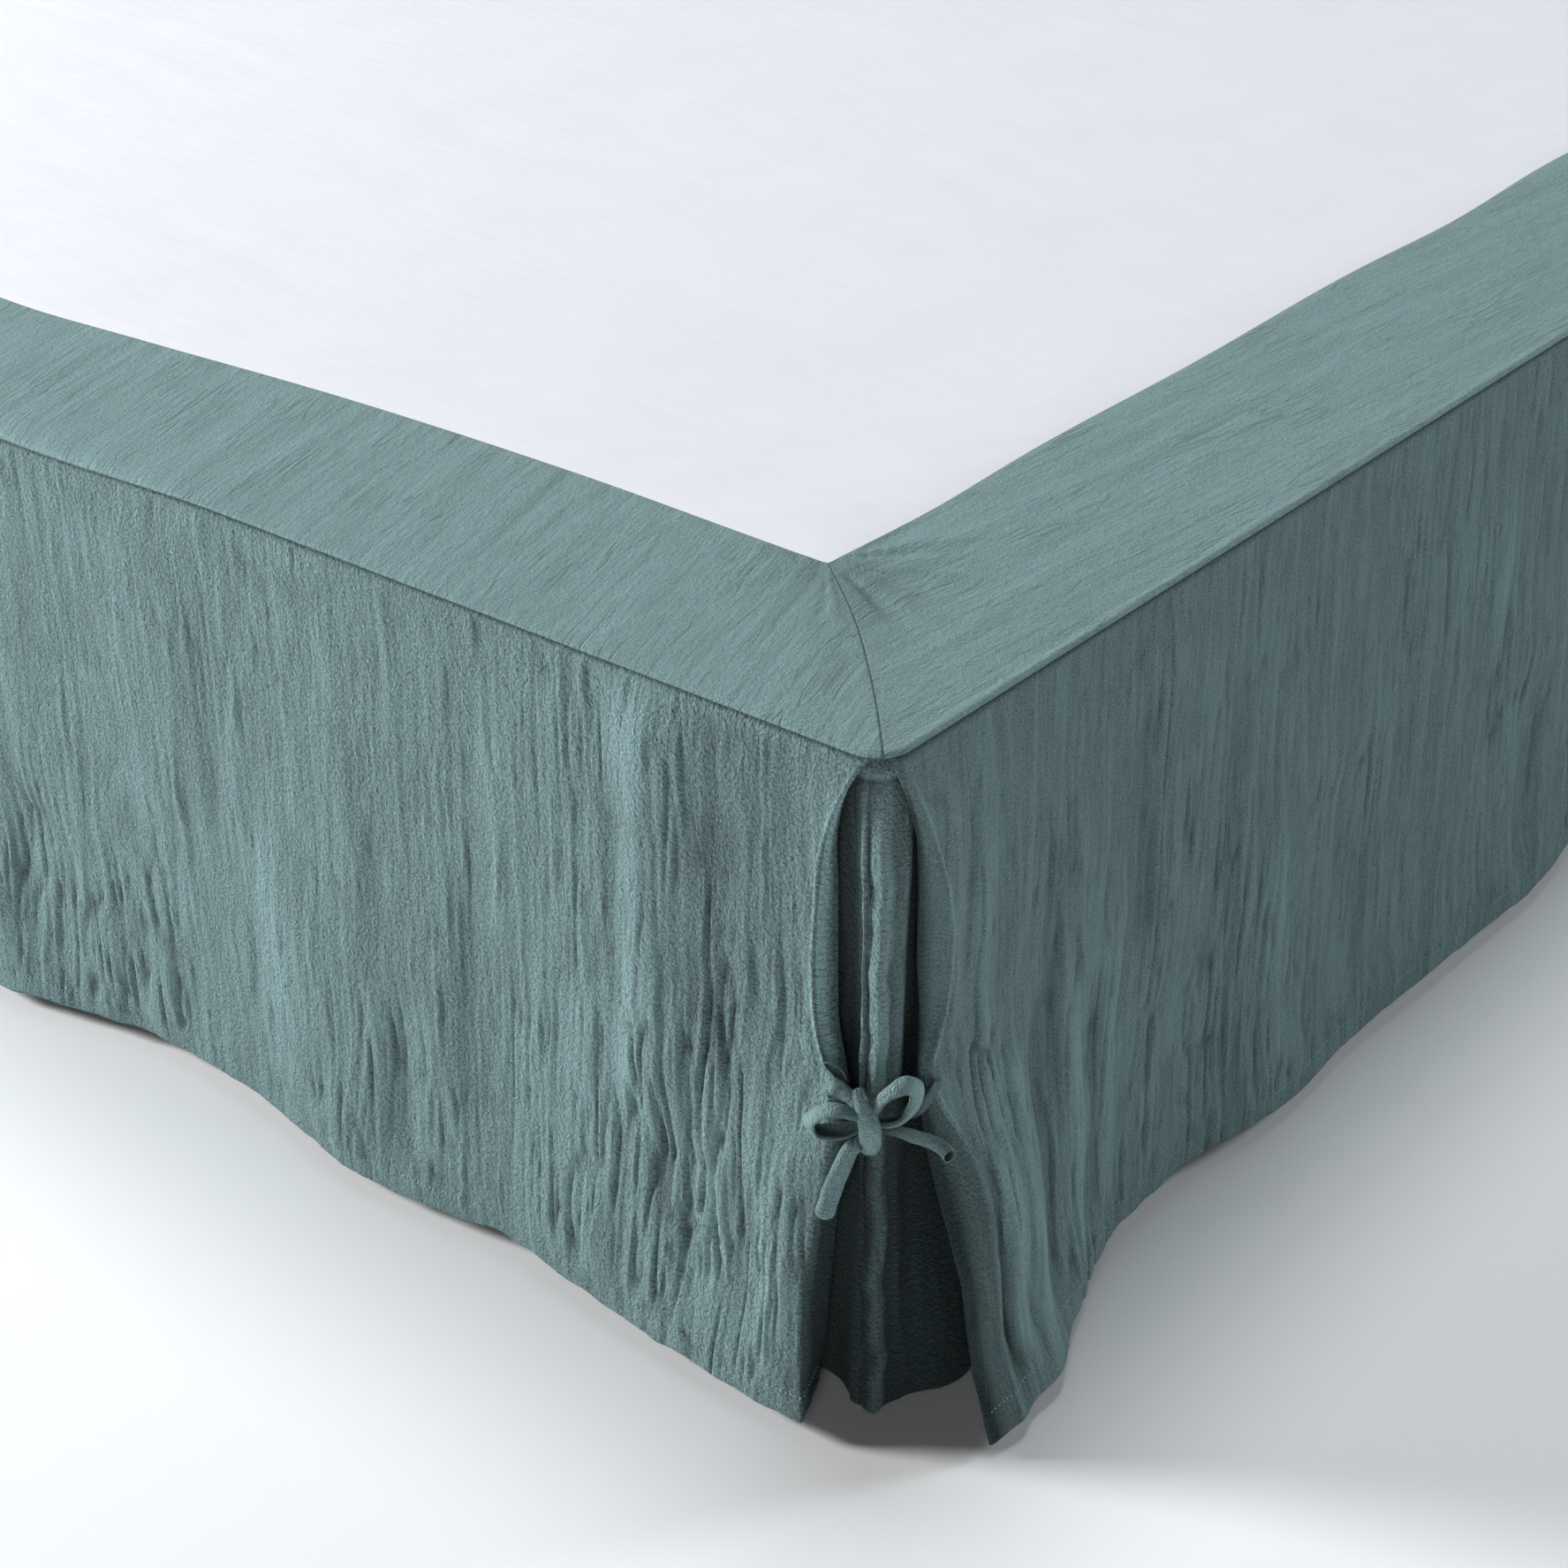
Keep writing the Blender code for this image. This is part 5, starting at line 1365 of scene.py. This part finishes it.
def gauze_material(name):
    """Crinkled double gauze. Its relief, in millimetres: streaks along the cloth, narrow creases in
    patches, an even unevenness and threads. Its colour is mottled and speckled by its threads, with painted
    shade down the narrow creases and, from the piece's depth, painted shade down creases and hollows and
    painted light where the depth is below nought."""
    sizes = FINISHES[name]
    f = Finish(name, bpy.context.scene.gauze_look.colour, 0.92, 0.15, 0.10)
    shift = f.node("ShaderNodeCombineXYZ", {"X": f.math("MULTIPLY", f.lumps(22, 50), 0.0025)}).outputs[0]
    moved = f.vector("ADD", f.here, shift)
    share = f.mapped(f.lumps(*sizes["patch"]), 0.42, 0.64)
    streaks = f.lumps(*sizes["streaks"][:2], 3.0, moved)
    centred = f.math("SUBTRACT", f.lumps(*sizes["lines"][:2], 1.0, moved))
    valley = f.math("MINIMUM", f.math("ABSOLUTE", centred), 0.030)
    lines = f.math("MULTIPLY", valley, share)
    uneven = f.lumps(*sizes["uneven"][:2], 5.0)
    threads = f.lumps(*sizes["threads"][:2], 2.0)
    relief = f.math("MULTIPLY", threads, sizes["threads"][2])
    for part, kind in ((streaks, "streaks"), (lines, "lines"), (uneven, "uneven")):
        relief = f.math("ADD", relief, f.math("MULTIPLY", part, sizes[kind][2]))
    f.relief(relief, MM, 1.0)
    body = f.mix(f.lumps(20, 30, 3.0), f.tint(0.86), f.tint(1.12))
    grain, strands = (f.mapped(value, 0.32, 0.68) for value in (threads, f.lumps(1.2, 12, 3.0, moved)))
    speckle = f.mix(f.shared(grain, strands, 0.7), f.tint(0.52), f.tint(1.56))
    body = f.mix(sizes["speckle"], body, speckle)
    # Painted shade down the narrow creases.
    creased = f.mapped(valley, 0.0, 0.030, 0.28, 0.0)
    body = f.mix(f.math("MULTIPLY", creased, share), body, f.tint(0.3))
    # The depth attribute: painted light below nought, painted shade above it.
    depth = f.node("ShaderNodeAttribute", attribute_name="depth").outputs["Fac"]
    body = f.mix(f.mapped(depth, 0.0, -1.0), body, f.tint(2.1))
    deep = (*(c * k for c, k in zip(f.colour, (0.04, 0.08, 0.08))), 1)
    f.paint(f.mix(f.mapped(depth, 0.0, 1.0, 0.0, 0.94), body, deep))


def cotton_material():
    """Plain white cotton: a fine even weave, very slightly mottled."""
    f = Finish("white_cotton", bpy.context.scene.deck_look.colour, 0.88, 0.2)
    threads = f.math("ADD", f.lumps(0.6, 6), f.lumps(6, 0.6))
    f.relief(f.math("ADD", f.math("MULTIPLY", threads, 0.12), f.lumps(50, 12, 2.0)), 0.9 * MM, 0.6)
    f.paint(f.mix(f.lumps(90, 140, 2.0), f.tint(0.97), f.tint(1.03)))


def thread_material():
    """Sewing thread, lighter than the gauze and twisted."""
    colour = [min(1, c * 2.3) for c in bpy.context.scene.gauze_look.colour]
    f = Finish("sewing_thread", colour, 0.7, 0.3)
    f.paint(f.mix(f.lumps(4, 4), f.tint(0.75), f.tint(1)))


def cover_material():
    """The base's plain woven cover, on its own surface coordinates."""
    f = Finish("woven_cover", bpy.context.scene.base_look.cover, 0.9, 0.2, flat=False)
    weave = f.math("ADD", f.lumps(1.2, 6), f.lumps(6, 1.2))
    f.relief(weave, 0.6 * MM, 0.8)
    f.paint(f.mix(f.math("MULTIPLY", weave, 0.5), f.tint(0.82), f.tint(1.15)))


def wood_material():
    """Plain beech: grain running up the leg."""
    f = Finish("plain_beech", bpy.context.scene.base_look.wood, 0.42, 0.4, flat=False)
    inputs = {"Vector": f.vector("MULTIPLY", f.here, (160, 160, 9)), "Scale": 1.0, "Detail": 3.0}
    rings = f.node("ShaderNodeTexNoise", inputs).outputs["Fac"]
    f.relief(rings, 0.4 * MM, 0.5)
    f.paint(f.mix(f.shared(rings, f.lumps(4, 4, 3.0), 0.8), f.tint(0.6), f.tint(1.25)))


def floor_material():
    """A pale floor, very slightly cloudy."""
    f = Finish("pale_floor", bpy.context.scene.stage_look.floor, 0.7, 0.2, flat=False)
    f.paint(f.mix(f.lumps(500, 500, 2.0), f.tint(0.985), f.tint(1)))


class BEDSKIRT_OT_finishes(bpy.types.Operator):
    """Make the materials and give the base and its legs theirs"""

    bl_idname = "bedskirt.finishes"
    bl_label = "Finishes"

    def execute(self, context):
        for name in FINISHES:
            gauze_material(name)
        cotton_material()
        thread_material()
        cover_material()
        wood_material()
        for name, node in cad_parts.items():
            if name == "bed_base" or name.startswith("leg_"):
                finish = "woven_cover" if name == "bed_base" else "plain_beech"
                node.data.materials.clear()
                node.data.materials.append(bpy.data.materials[finish])
        return {"FINISHED"}


class BEDSKIRT_OT_deck(bpy.types.Operator):
    """Make the white deck"""

    bl_idname = "bedskirt.deck"
    bl_label = "Deck"

    def execute(self, context):
        make_deck()
        return {"FINISHED"}


class BEDSKIRT_OT_border(bpy.types.Operator):
    """Make the border's three bands"""

    bl_idname = "bedskirt.border"
    bl_label = "Border"

    def execute(self, context):
        for side in BANDS:
            make_band(side)
        return {"FINISHED"}


class BEDSKIRT_OT_skirts(bpy.types.Operator):
    """Make the three hanging skirts with their stitched hems"""

    bl_idname = "bedskirt.skirts"
    bl_label = "Skirts"

    def execute(self, context):
        for side in SKIRTS:
            make_skirt(side)
        return {"FINISHED"}


class BEDSKIRT_OT_inserts(bpy.types.Operator):
    """Make the inserts behind the two split corners"""

    bl_idname = "bedskirt.inserts"
    bl_label = "Corner inserts"

    def execute(self, context):
        for side in ("right", "left"):
            make_insert(side)
        return {"FINISHED"}


class BEDSKIRT_OT_ties(bpy.types.Operator):
    """Make the ties and their bows"""

    bl_idname = "bedskirt.ties"
    bl_label = "Ties"

    def execute(self, context):
        for corner in ("right", "left"):
            for side in ("foot", "side"):
                make_tie(side, corner)
        return {"FINISHED"}


# The camera's place from the right foot corner at the seam, and its two angles in degrees.
CAMERA_FROM_CORNER = (0.6297, -0.8529, 0.5913)
CAMERA_TURN = 38.69
CAMERA_DOWN = 29.47
SENSOR_MM = 36
SKY_COLOUR = (0.90, 0.97, 1.0, 1)
FLOOR_REACH = 9  # from the middle to the floor's edges
# Each light: its place, what it points at, how wide it is and its colour.
LIGHTS = {
    "key": ((-2.60, -2.45, 1.50), (0.2, -0.7, 0.25), 0.9, (1.0, 1.0, 1.0)),
    "rim": ((2.60, 3.40, 1.90), (0.75, -0.2, 0.25), 1.2, (0.94, 1.0, 1.02)),
    "top": ((-1.00, 1.00, 8.00), (0.2, -0.2, 0.3), 3.4, (0.98, 1.0, 1.02)),
    "front": ((2.00, -3.20, 1.40), (0.7, -0.9, 0.2), 1.2, (1.0, 1.0, 1.0)),
}


def soft_light(name, power):
    """A round soft light that points from its place to its aim."""
    place, aim, size, colour = LIGHTS[name]
    light = bpy.data.lights.new(name, "AREA")
    light.shape = "DISK"
    light.size = size
    light.energy = power
    light.color = colour
    lamp = bpy.data.objects.new(name, light)
    way = np.array(aim) - np.array(place)
    lamp.location = place
    down = math.acos(-way[2] / np.linalg.norm(way))
    lamp.rotation_euler = (down, 0, math.atan2(way[1], way[0]) - math.pi / 2)
    bpy.context.scene.collection.objects.link(lamp)


class BEDSKIRT_OT_stage(bpy.types.Operator):
    """Make the floor, the lights and the camera"""

    bl_idname = "bedskirt.stage"
    bl_label = "Stage"

    def execute(self, context):
        scene, look = context.scene, context.scene.stage_look
        floor_material()
        mesh = bpy.data.meshes.new("floor")
        corners = [(x * FLOOR_REACH, y * FLOOR_REACH, 0) for x, y in ((-1, -1), (1, -1), (1, 1), (-1, 1))]
        mesh.from_pydata(corners, [], [(0, 1, 2, 3)])
        mesh.materials.append(bpy.data.materials["pale_floor"])
        floor = bpy.data.objects.new("floor", mesh)
        scene.collection.objects.link(floor)
        world = bpy.data.worlds.new("studio")
        world.use_nodes = True
        sky = world.node_tree.nodes["Background"]
        sky.inputs["Color"].default_value = SKY_COLOUR
        sky.inputs["Strength"].default_value = look.sky
        scene.world = world
        for name in LIGHTS:
            soft_light(name, getattr(look, name))
        camera = bpy.data.cameras.new("camera")
        camera.lens = look.lens
        camera.sensor_width = SENSOR_MM
        camera.clip_start = 0.02
        eye = bpy.data.objects.new("camera", camera)
        eye.location = np.array([HALF_WIDTH, FOOT_Y, SEAM_Z]) + CAMERA_FROM_CORNER
        eye.rotation_euler = (math.radians(90 - CAMERA_DOWN), 0, math.radians(CAMERA_TURN))
        scene.collection.objects.link(eye)
        scene.camera = eye
        scene.view_settings.view_transform = "Standard"
        return {"FINISHED"}


OPERATORS = (
    BEDSKIRT_OT_finishes,
    BEDSKIRT_OT_deck,
    BEDSKIRT_OT_border,
    BEDSKIRT_OT_skirts,
    BEDSKIRT_OT_inserts,
    BEDSKIRT_OT_ties,
    BEDSKIRT_OT_stage,
)
LOOKS = {
    "gauze_look": GauzeLook,
    "hem_look": HemLook,
    "deck_look": DeckLook,
    "tie_look": TieLook,
    "base_look": BaseLook,
    "stage_look": StageLook,
}


class BEDSKIRT_PT_panel(bpy.types.Panel):
    """The bed skirt's pieces and looks"""

    bl_idname = "BEDSKIRT_PT_panel"
    bl_label = "Bed skirt"
    bl_space_type = "VIEW_3D"
    bl_region_type = "UI"
    bl_category = "Bed skirt"

    def draw(self, context):
        for name, look in LOOKS.items():
            box = self.layout.box()
            for key in look.__annotations__:
                box.prop(getattr(context.scene, name), key)
        for operator in OPERATORS:
            self.layout.operator(operator.bl_idname)


def register():
    for made in (*LOOKS.values(), *OPERATORS, BEDSKIRT_PT_panel):
        bpy.utils.register_class(made)
    for name, look in LOOKS.items():
        setattr(bpy.types.Scene, name, PointerProperty(type=look))


def unregister():
    for name in LOOKS:
        delattr(bpy.types.Scene, name)
    for made in (BEDSKIRT_PT_panel, *reversed(OPERATORS), *LOOKS.values()):
        bpy.utils.unregister_class(made)


def main():
    register()
    bpy.ops.bedskirt.finishes()
    bpy.ops.bedskirt.deck()
    bpy.ops.bedskirt.border()
    bpy.ops.bedskirt.skirts()
    bpy.ops.bedskirt.inserts()
    bpy.ops.bedskirt.ties()
    bpy.ops.bedskirt.stage()


if __name__ == "__main__":
    main()
